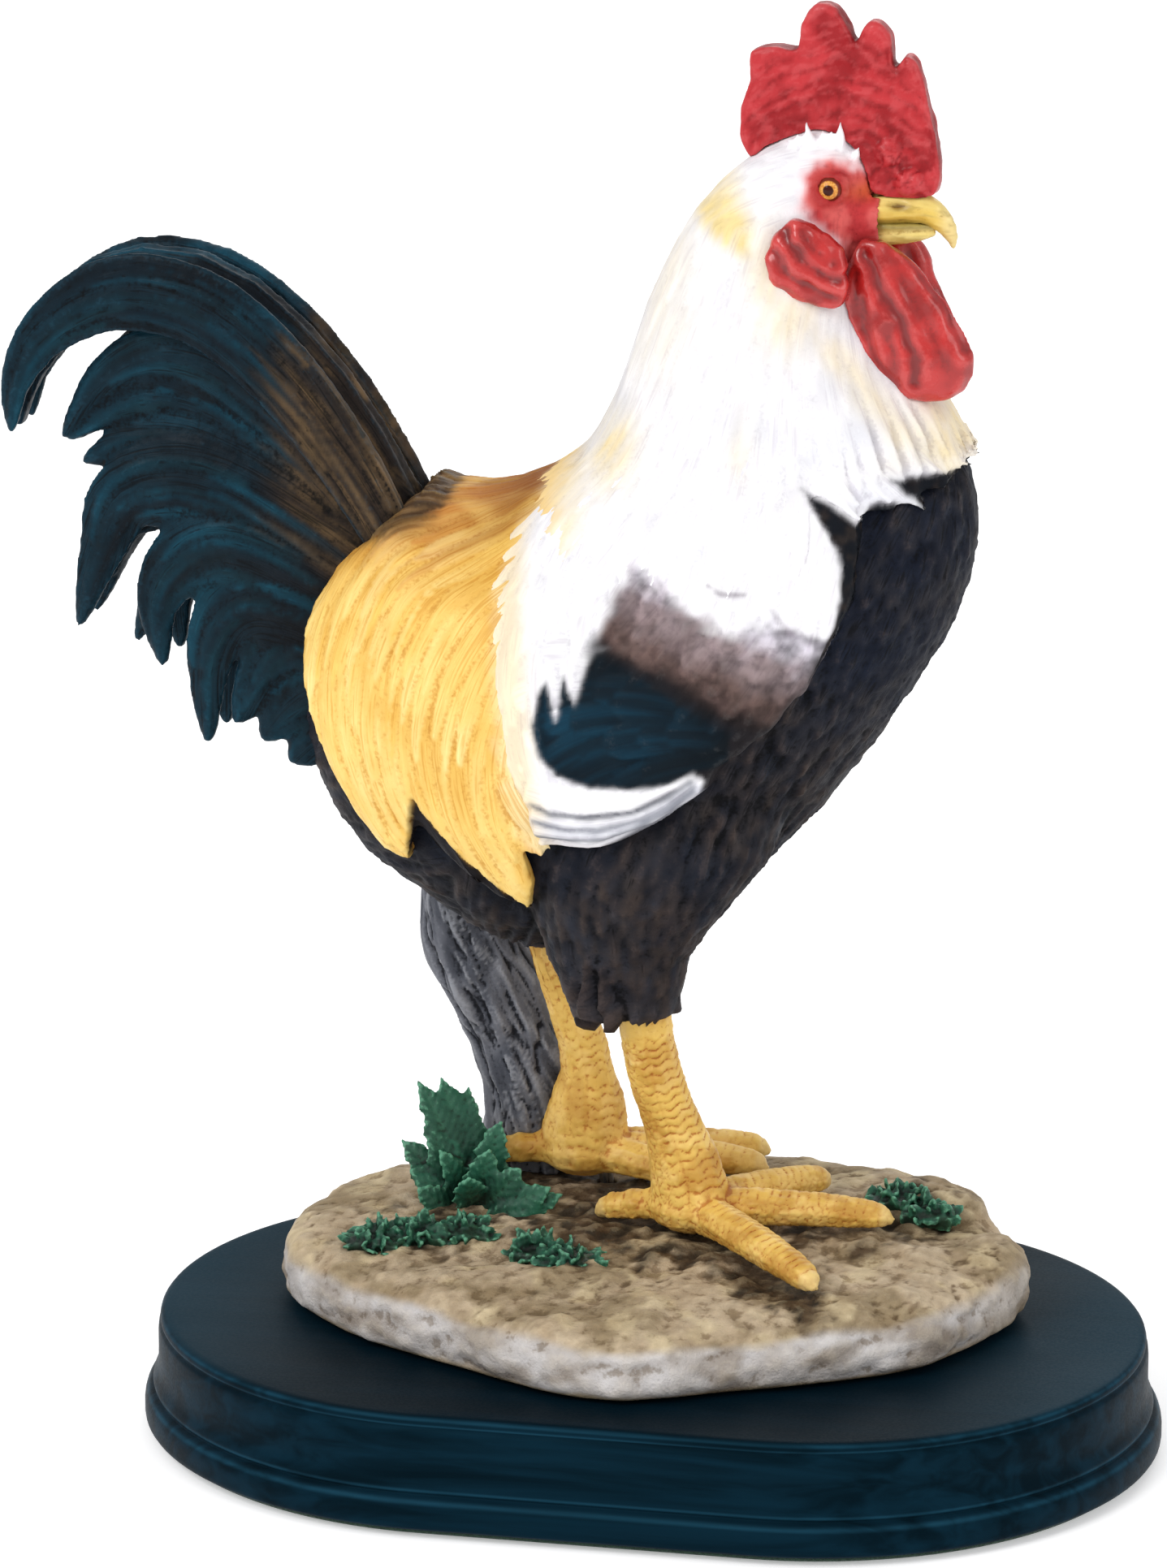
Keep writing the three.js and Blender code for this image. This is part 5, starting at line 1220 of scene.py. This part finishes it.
def cream(x, z):
    """Share of cream in the white at places on the neck."""
    nape = np.exp(-(((x - 12.5) / 8.5) ** 2 + ((z - 228) / 9) ** 2)) * ramp(x + 0.5 * (z - 228), 23, 16) * ramp(z + 0.62 * (x - 6.5), 227, 232) * 1.05
    nape = nape + ramp(x, 14, 2) * ramp(z, 190, 214) * ramp(z, 236, 222) * 0.25
    lobe = np.exp(-(((x - 27) / 7) ** 2 + ((z - 213) / 6) ** 2)) * 0.5
    under = ramp(z, 207, 194) * ramp(x, 40, 55) * ramp(z, 185.5, 190) * 0.6
    patch = np.exp(-(((x - 19) / 2.6) ** 2 + ((z - 192) / 5) ** 2)) * 0.35
    edge = ramp(line_gap(((20, 221), (24, 215.5), (31, 211), (39, 201), (45, 195), (50, 191), (56, 187)), x, z), 4.2, 0.3) * 0.45
    foot = np.exp(-(((x + 7) / 6) ** 2 + ((z - 189) / 7) ** 2)) * 0.7
    behind = np.exp(-(((x - 21) / 3.5) ** 2 + ((z - 222) / 8) ** 2)) * 0.5
    back = ramp(-x, 5, 15) * ramp(z, 204, 192) * 0.55
    return np.max([nape, edge, foot, lobe, under, patch, behind, back], axis=0)


cape = Plumage()
neck_x, neck_y, neck_z = skin_parts.points[:, 0], skin_parts.points[:, 1] - BIRD_Y, skin_parts.points[:, 2]
on_neck = BVHTree.FromPolygons(*[list(map(tuple, a)) for a in solid_of("neck_head")])
near_neck = np.array([on_neck.find_nearest(Vector(p), 1.6)[0] is not None for p in skin_parts.points])
front_head = inside(FACE, neck_x, neck_z) | (neck_x > 41) & (neck_z > 220) | (neck_x > 34) & (neck_z > 236)
for start in scattered(skin_parts.points[near_neck & ~front_head & (neck_z < 243)], 2.7):
    x, y, z = start[0], start[1] - BIRD_Y, start[2]
    size = float(np.interp(z, (165, 195, 220, 232, 243), (15, 22, 17, 9, 5))) * rng.uniform(0.75, 1.2)
    path, ways = trail(start, down_neck, size, 8)
    edge_z = np.interp(path[:, 0], [t[0] for t in CAPE_TIPS], [t[1] for t in CAPE_TIPS])
    blocked = (path[:, 2] < edge_z + 2.5) | inside(FACE, path[:, 0], path[:, 2])
    keep = int(np.argmax(blocked)) if blocked.any() else 9
    if keep < 4:
        continue
    path, ways = path[:keep], ways[:keep]
    wide = float(np.interp(z, (170, 205, 228, 243), (1.9, 1.6, 0.9, 0.7))) * rng.uniform(0.8, 1.2)
    rises = np.linspace(0.15, float(np.interp(z, (200, 226), (0.5, 0.22))) * rng.uniform(0.7, 1.2), keep)
    cape.lay(path, ways, wide * taper(keep - 1, "pointed"), rises, 0.9, root_shade, plain, crown=0.4)
for side in (-1, 1):
    for x, z in CAPE_TIPS:
        for k in range(3):
            if k and z < 170 and x > -12:
                continue
            tip_spot = flank_edge(x + rng.uniform(-1.6, 1.6) * (k > 0), z + (0, 2.0, 4.0)[k], side)
            path, ways = backwards(trail(tip_spot, up_neck, rng.uniform(16, 24), 10))
            loose = 1.0 if x > 31 else 0.4
            cape.lay(path, ways, rng.uniform(1.1, 1.8) * taper(10, "pointed"), np.linspace(0.2, rng.uniform(0.8, 1.2) * loose, 11), 0.9, root_shade, plain, crown=0.45)
for y in np.arange(-12, 12.1, 2.6):
    hit = skin.ray_cast(Vector((90, BIRD_Y + y, 188 - 0.02 * y * y + rng.uniform(-1.2, 1.2))), Vector((-1, 0, 0)), 90)[0]
    path, ways = backwards(trail(hit, up_neck, rng.uniform(15, 22), 10))
    cape.lay(path, ways, rng.uniform(1.4, 2.0) * taper(10, "pointed"), np.linspace(0.2, 1.1, 11), 0.9, root_shade, plain, crown=0.45)
for side in (-1, 1):
    for x, z, from_x, from_z, count in (
        (40.9, 179.6, 31, 190, 4), (36.6, 182.6, 29, 191, 3), (51, 179.8, 40, 190, 4), (45.6, 182.0, 36, 191, 3), (54.6, 185.6, 48, 194, 3), (56.6, 186, 52, 197, 2),
    ):
        for k in range(count):
            t = np.linspace(0, 1, 11)
            slide = rng.uniform(-1, 1, 2) * (k > 0)
            line_x = from_x + (x - from_x) * t + slide[0] * 1.3 * (1 - 0.4 * t) - 1.6 * k * t / count
            line_z = from_z + (z - from_z) * (0.75 * t + 0.25 * t**2) + slide[1] * 1.3 + 0.7 * k * t
            spots = [flank_edge(a, b, side) for a, b in zip(line_x, line_z)]
            ways = [tuple(skin.find_nearest(Vector(p))[1]) for p in spots]
            cape.lay(spots, ways, rng.uniform(1.3, 1.9) * taper(10, "pointed"), np.linspace(0.2, rng.uniform(0.9, 1.5), 11), 1.0, root_shade, plain, crown=0.45)
    for x, z, dx, dz, wide in (
        (27.1, 243.0, 0.2, 4.2, 1.1), (32.6, 242.6, 0.5, 5.0, 1.1), (29.8, 243.4, 0.2, 2.2, 0.9), (24.6, 242.6, -0.8, 1.6, 0.8),
        (25.6, 243.0, -0.2, 2.0, 0.7), (31.2, 243.0, 0.4, 2.6, 0.7), (35.2, 240.6, 1.2, 2.4, 0.8),
    ):
        spot = flank_edge(x, z, side)
        t = np.linspace(0, 1, 8)[:, None]
        line_at = spot + t * np.array((dx, side * 0.15, dz)) + (0, side * 0.1, 0) + np.sin(t * 5) * (0.25, 0, 0)
        cape.lay(line_at, np.tile((0, side, 0.3), (8, 1)), wide * np.clip(1.05 - t[:, 0], 0.05, 1) ** 1.2, 0.4, 1.4, plain, plain, crown=0.6)
    turn = np.linspace(0, 2 * math.pi, 25)
    for radius, thick, tall in ((2.5, 0.5, 0.8), (3.7, 0.45, 0.3)):
        lid = [(EYE_AT[0] + radius * 1.08 * math.cos(a), EYE_AT[1] + radius * 0.92 * math.sin(a)) for a in turn]
        spots = np.array([flank_edge(x, z, side) for x, z in lid])
        spots[:, 1] = np.where(radius < 3, BIRD_Y + side * np.maximum(np.abs(spots[:, 1] - BIRD_Y), 7.7), spots[:, 1])
        cape.lay(spots, np.tile((0, side, 0), (25, 1)), thick, tall, 1.6, plain, plain, crown=0.7)
    for a in np.radians(np.arange(-84, 56, 12)):
        out = np.array((0.0, side * math.cos(a), math.sin(a)))
        rim = (0.0, BIRD_Y, 229.3) + out * (0, 4.85, 5.3)
        reach = 39.6 + 0.5 * math.cos(a) + rng.uniform(-0.3, 0.3)
        cape.lay([rim + (x, 0, 0) + out * (0, lift, lift) for x, lift in ((32.5, 0.5), (35, 0.5), (37, 0.3), (38.6, 0.1), (reach, -0.1))],
                 np.tile(out, (5, 1)), (0.7, 0.9, 0.9, 0.85, 0.5), (0.7, 0.6, 0.5, 0.4, 0.2), 0.5, plain, plain, crown=0.5)
    cape.lay([(x, BIRD_Y + side * 7.4, 236.1) for x in (29.2, 31, 33, 35.4)], [(0, side, 0)] * 4, (1.6, 2.8, 2.8, 1.6), 0.2, 2.5, plain, plain, crown=0.5)
neck = Casting([solid_of("neck_head", 0.1), cape.solid()], 0.54)
neck.smooth(1)
spot = neck.points.copy()
shade, lane, across, share = cape.dress(neck, 1.0, plain * 0.97)
x, z = spot[:, 0], spot[:, 2]
in_face = depth_in(FACE, x, z) + 0.9 * rough(spot, 2.2, 3)
skin_red = np.maximum(ramp(in_face, -0.9, 0.9), ramp(x, 36.2, 37) * ramp(z, 222.4, 223.6) * ramp(z, 236.6, 235.6))
pebbles = np.array([noise.voronoi(Vector(p))[0][0] for p in spot / 0.8])
wrinkle = ramp(np.abs(rough(spot, (1.6, 3, 1.1), 2, 9.0)), 0.14, 0.0)
bib = ramp(depth_in(BIB, x, z) + 0.5 * rough(spot, 1.8, 2), -0.4, 0.5)
throat = np.exp(-(((z - 192) / 6) ** 2)) * ramp(neck.normals()[:, 0], 0.3, 0.8)
neck.push(0.08 * rough(lane * (1, 0.12, 1), (0.6, 1.0, 1.0), 2) * (1 - skin_red) - 0.5 * bib - 1.5 * throat - (0.2 * (pebbles - 0.4) + 0.22 * wrinkle) * skin_red)
relief = neck.raised(6)
tint = blend(colour("#f7f6f8"), colour("#f3dc9c"), np.minimum(cream(x, z) * (1 + 0.5 * rough(lane * (1, 0.1, 1), (1.0, 1.0, 1.0), 2)), 1))
tint = blend(tint, colour("#e6e8ee"), ramp(rough(spot, 17, 2, 5.0), 0.05, 0.45) * 0.5)
tint = blend(tint, colour("#f0cc82"), ramp(-x + 1.5 * rough(spot, 3), 12.5, 18.5) * ramp(z, 196, 186) * 0.85)
pink = blend(colour("#d8605c"), colour("#bf3a3c"), ramp(rough(spot, 3.5, 3), -0.2, 0.3))
from_eye = np.hypot(x - EYE_AT[0], z - EYE_AT[1])
pink = blend(pink, colour("#a82c2b"), ramp(from_eye, 4.2, 2.8) * 0.8)
pink = blend(pink, colour("#d2622f"), np.exp(-(((x - 37.6) / 2.6) ** 2 + ((z - 235) / 1.6) ** 2)) * 0.7)
pink = blend(pink, colour("#9c2630"), wrinkle * 0.3)
tint = blend(tint, colour("#f2b9bb"), ramp(in_face, -2.2, 0.2) * 0.6)
tint = blend(tint * shade, pink, skin_red)
tint = blend(tint, blend(colour("#0e1219"), colour("#241f1f"), ramp(rough(spot, 3, 3), -0.1, 0.5)), bib)
neck.points = settle(neck.points)
neck.make("white_cape_and_head", white_paint, "resin_white", ["neck_head"], tint, relief, lane)


# Comb, wattles and earlobes: separate castings glued to the head, with a fine pebbled and folded
# surface under thick glossy red paint, with painted shade dark in the folds and on the edges that
# turn sideways, and painted highlight pink on the ridges.
# In both red paints the pink brushed over the ridges is painted highlight.
red_paint = painted(
    "painted_resin_glossy_red", (0.22, 0.4), ("#9c5052", 0.45), ("#984846", 0.4), fine=0.4, coat=0.42, specular=0.4, cloud="#d8b0b4",
)
comb_red = painted(
    "painted_resin_comb_red", (0.35, 0.55), ("#a25a5e", 0.3), ("#6c3030", 0.5), fine=0.8, coat=0.1, specular=0.15, cloud="#d8b0b4",
)


def red_casting(name, node, fold, voxel=0.36, material=None, deep="#981210", light="#bd2624", shape=None, shaded=0.3):
    flesh = Casting([solid_of(node)], voxel)
    flesh.smooth(4)
    if shape:
        flesh.points = shape(flesh.points)
    spot = flesh.points.copy()
    facing = flesh.normals()
    depth, pebble, line = fold(spot, facing)
    cell = np.array([noise.voronoi(Vector(p))[0][0] for p in spot / 1.05])
    flesh.push(depth + pebble * (0.3 * rough(spot, 1.6, 3) - 0.28 * (cell - 0.4)))
    flesh.smooth(1 if node == "comb" else 3)
    relief = flesh.raised(7)
    paint = blend(colour(deep), colour(light), ramp(rough(spot, 7, 3) + 0.5 * relief, -0.4, 0.5))
    around = np.stack([np.arctan2(spot[:, 0] - 33, spot[:, 2] - 226) * 9, spot[:, 1] * 0, np.hypot(spot[:, 0] - 33, spot[:, 2] - 226) / 1.3 + 1.5 * rough(spot, 6, 2)], axis=1)
    vein = ramp(rough(around, 1.0, 3, 2.0), 0.0, 0.4)
    paint = blend(paint, colour("#cc5558"), vein * (node == "comb") * 0.35)
    # Painted shade: darker red on the edges that turn sideways, less on the ridges.
    rim = 1 - ramp(np.abs(facing[:, 1]), 0.25, 0.75)
    paint = blend(paint, colour("#7c141a"), rim * 0.7 * ramp(relief, 0.9, 0.0))
    paint = blend(paint, colour("#7c141a"), line * shaded)
    flesh.make(name, material or red_paint, "resin_red", [node], paint, relief)


def comb_folds(spot, facing):
    x, z = spot[:, 0] - 33, spot[:, 2] - 231
    turn, far = np.arctan2(x, z), np.hypot(x, z)
    wave = (0.3 * np.sin(turn * 17 + 1.7 * rough(spot, 7, 2)) + 0.5 * np.sin(far * 2.1 + 4 * rough(spot, 7, 2))) * ramp(far, 6, 16) * ramp(far, 38, 24)
    swirl = spot + 1.6 * np.stack([rough(spot, 6, 2, 3.0), np.zeros(len(spot)), rough(spot, 6, 2, 8.0)], axis=1)
    crease = ramp(np.abs(rough(swirl, (3.4, 9, 3.4), 2)), 0.11, 0.0) + 0.6 * ramp(np.abs(rough(swirl, (1.7, 5, 1.9), 2, 6.0)), 0.12, 0.0)
    near = np.exp(-(((spot[:, 0] - 43) / 7) ** 2 + ((spot[:, 2] - 239) / 6) ** 2))
    fold = near * ramp(np.abs(rough(swirl, (4.2, 9, 2.4), 2, 6.0)), 0.13, 0.0)
    flat = ramp(np.abs(facing[:, 1]), 0.4, 0.8)
    hollow = ramp(far, 10, 18) * ramp(far, 36, 26)
    return flat * (0.22 * wave - 0.1 * crease - 0.35 * hollow - 0.35 * fold) + 0.3 * rough(spot, 5, 2), 0.3, fold * flat


WATTLE_CREASES = (
    (((38.9, 224.4), (41.1, 218.9), (45.1, 213.3), (47.4, 207.8), (48, 202.2)), 1.0),
    (((46.2, 225.5), (50.8, 219), (54.2, 213.5), (56.5, 208)), 0.8),
    (((37.2, 221), (37.7, 213.3), (40.6, 206.8), (44, 201)), 0.7),
    (((43.5, 212), (44.4, 206), (46, 200.6)), 0.45),
)
LOBE_CREASES = (
    (((24.6, 229), (27.9, 224.4), (31.8, 221.8), (34.6, 220.6)), 1.0),
    (((23, 225.2), (25.7, 221.5), (29.6, 219.5), (33.4, 217.6)), 0.7),
    (((28.4, 228.6), (30.4, 225.6), (33.4, 223.6)), 0.5),
)


def creased(spot, facing, creases, wide, flat_from):
    """Soft folds either side of drawn creases."""
    warp = 0.7 * rough(spot, 4, 2)
    flat, depth, line = ramp(np.abs(facing[:, 1]), flat_from, 0.7), np.zeros(len(spot)), np.zeros(len(spot))
    for points, deep in creases:
        gap = line_gap(points, spot[:, 0] + warp, spot[:, 2])
        line = np.maximum(line, deep * np.exp(-((gap / wide) ** 2)))
        depth = depth + deep * (0.4 * np.exp(-(((gap - 2.3 * wide) / (1.3 * wide)) ** 2)) - 0.55 * np.exp(-((gap / wide) ** 2)))
    return flat * depth, flat * line


def wattle_folds(spot, facing):
    depth, line = creased(spot, facing, WATTLE_CREASES, 0.95, 0.25)
    return depth + 0.5 * rough(spot, (5, 5, 8), 2), 0.1, line


def lobe_folds(spot, facing):
    depth, line = creased(spot, facing, LOBE_CREASES, 0.85, 0.2)
    return depth + 0.4 * rough(spot, 4, 2), 0.25, line


LOBE = (
    (25, 230.9), (22.3, 227.7), (20.9, 223.6), (22.1, 219.7), (25.7, 217), (29.6, 215.4), (33.5, 214.7), (36.2, 216.4), (36.1, 220.9),
    (34.4, 225.3), (31.1, 229.2), (28.4, 230.8),
)


def to_lobe(points):
    """The round lobe drawn out to its tilted outline."""
    middle = np.array((29.2, 222.9))
    flat = points[:, (0, 2)] - middle
    turn, far = np.arctan2(flat[:, 1], flat[:, 0]), np.hypot(*flat.T)
    bins = np.linspace(-math.pi, math.pi, 37)
    own = np.array([far[np.abs(np.angle(np.exp(1j * (turn - a)))) < 0.2].max() for a in bins])
    ring = np.array(LOBE) - middle
    ring = np.concatenate([a + (b - a) * np.linspace(0, 1, 9)[:-1, None] for a, b in zip(ring, np.roll(ring, -1, axis=0))])
    order = np.argsort(np.arctan2(ring[:, 1], ring[:, 0]))
    aim = np.interp(bins, np.arctan2(ring[order, 1], ring[order, 0]), np.hypot(*ring[order].T), period=2 * math.pi)
    grow = np.interp(turn, bins, np.clip(aim / own, 0.8, 1.25))
    moved = points.copy()
    moved[:, (0, 2)] = middle + flat * grow[:, None]
    return moved


def near_wattle(points):
    """The near wattle swings forward at its foot."""
    return points + np.outer(np.exp(-(((points[:, 2] - 201) / 6) ** 2)) * ramp(points[:, 0], 44, 54), (1.3, 0, 0)) + np.outer(np.exp(-(((points[:, 2] - 209) / 8) ** 2)) * ramp(points[:, 0], 46, 55), (1.5, 0, 0))


def far_wattle(points):
    """The far wattle hangs a little further back."""
    return points - np.outer(ramp(points[:, 2], 225, 215), (3.0, 0, 0))


red_casting("pebbled_comb", "comb", comb_folds, 0.42, comb_red, "#971a20", "#ba3237", None, 0.5)
for name in ("right", "left"):
    red_casting("folded_wattle_" + name, "wattle_" + name, wattle_folds, shape=near_wattle if name == "right" else far_wattle)
    red_casting("folded_earlobe_" + name, "earlobe_" + name, lobe_folds, shape=to_lobe)


# Beak: two horn-coloured halves with a ridge along the top, nostril pits and a hooked tip, painted
# satin yellow, with olive painted shade along the mouth line, and reddish where it meets the face.
beak_paint = painted("painted_resin_beak", (0.3, 0.5), ("#b8a264", 0.8), ("#6a6236", 0.5), fine=0.4, coat=0.15, specular=0.4, cloud="#dccfa8")
for name, node in (("hooked_beak_upper", "beak_upper"), ("beak_lower_half", "beak_lower")):
    solids = [solid_of(node)]
    if node == "beak_lower":
        fill = Plumage()
        fill.lay([(37.6, BIRD_Y, 227.4), (41, BIRD_Y, 227.6), (44.4, BIRD_Y, 227.9), (47.4, BIRD_Y, 228.2), (49.6, BIRD_Y, 228.4)], [(0, 0, 1)] * 5,
                 (3.5, 3.4, 2.9, 2.0, 0.7), (1.5, 1.5, 1.2, 0.8, 0.3), 1.4, plain, plain, crown=0.35)
        solids.append(fill.solid())
    horn = Casting(solids, 0.3)
    horn.smooth(4)
    spot = horn.points.copy()
    pit = np.exp(-(((spot[:, 0] - 43.4) / 1.5) ** 2 + ((spot[:, 2] - 232.2) / 0.75) ** 2)) * (node == "beak_upper")
    grain = rough(spot, (5, 1.2, 1.0), 2)
    horn.push(0.14 * grain - 0.8 * pit)
    if node == "beak_upper":
        horn.points[:, 2] -= 1.0 * ramp(spot[:, 0], 47, 54)
        horn.points[:, 0] = np.where(spot[:, 0] > 45, 45 + (horn.points[:, 0] - 45) * 0.86, horn.points[:, 0])
    relief = horn.raised(6)
    paint = blend(colour("#dcb850"), colour("#ecd580"), ramp(spot[:, 2], 230, 234) if node == "beak_upper" else ramp(spot[:, 2], 224.5, 226.5))
    # Painted shade: olive along the mouth line, under the upper half's edge and on the lower half's top.
    mouth_line_shade = ramp(spot[:, 2], 230.2, 228.8) * ramp(spot[:, 0], 51, 48) if node == "beak_upper" else ramp(spot[:, 2], 227, 228.4)
    paint = blend(paint, colour("#83702c"), mouth_line_shade * 0.85)
    paint = blend(paint, colour("#6b4a1c"), pit * 0.9)
    paint = blend(paint, colour("#c8722f"), ramp(spot[:, 0], 40.5, 37.5) * 0.6)
    paint = blend(paint, colour("#f0e0ac"), ramp(spot[:, 0], 50, 54) * 0.5)
    paint = blend(paint, colour("#9a7f2e"), ramp(rough(spot, (6, 2, 1.2), 3, 4.0), 0.0, 0.5) * 0.45)
    horn.make(name, beak_paint, "resin_beak", [node], paint, relief)


# Eyes: domed glossy enamel, a black pupil in an orange-yellow iris with a dark rim.
def eye_enamel():
    material, tree, shader = new_material("glossy_eye_enamel")
    place = add(tree, "ShaderNodeAttribute", {"attribute_name": "lane"}).outputs["Vector"]
    far = add(tree, "ShaderNodeVectorMath", {"operation": "LENGTH"})
    tree.links.new(place, far.inputs[0])
    ray = add(tree, "ShaderNodeTexNoise", inputs={"Scale": 2.4, "Detail": 4}, Vector=place).outputs[0]
    iris = mixed(tree, span(tree, ray, 0.35, 0.65), linear("#c67a30"), linear("#e4a856"))
    eye = mixed(tree, span(tree, far.outputs["Value"], 0.85, 1.08), linear("#3a120c"), iris)
    eye = mixed(tree, span(tree, far.outputs["Value"], 1.52, 1.8), eye, linear("#6c2416"))
    tree.links.new(eye, shader.inputs["Base Color"])
    tree.links.new(span(tree, ray, 0.3, 0.7, 0.12, 0.2), shader.inputs["Roughness"])
    shader.inputs["Specular IOR Level"].default_value = 0.1
    shader.inputs["Coat Weight"].default_value = 0.2
    shader.inputs["Coat Roughness"].default_value = 0.05
    return material


enamel = eye_enamel()
for side, name in ((-1, "right"), (1, "left")):
    points, faces = [], []
    rows, columns = 20, 40
    for i in range(rows + 1):
        a = math.pi * i / rows
        for k in range(columns):
            b = 2 * math.pi * k / columns
            dome = 1 + 0.06 * max(0.0, math.cos(a)) ** 8
            points.append((2.4 * math.sin(a) * math.cos(b), side * 2.0 * math.cos(a) * dome, 2.4 * math.sin(a) * math.sin(b)))
    flat = np.array(points)
    faces = [(i * columns + k, i * columns + (k + 1) % columns, (i + 1) * columns + (k + 1) % columns, (i + 1) * columns + k) for i in range(rows) for k in range(columns)]
    if side > 0:
        faces = [f[::-1] for f in faces]
    eye = place_mesh("enamel_eye_" + name, flat + (EYE_AT[0], BIRD_Y + side * 7.3, EYE_AT[1]), faces, enamel, "eye_enamel", ["eye_" + name])
    eye.data.attributes.new("lane", "FLOAT_VECTOR", "POINT").data.foreach_set("vector", (flat * (1, 0, 1)).ravel())
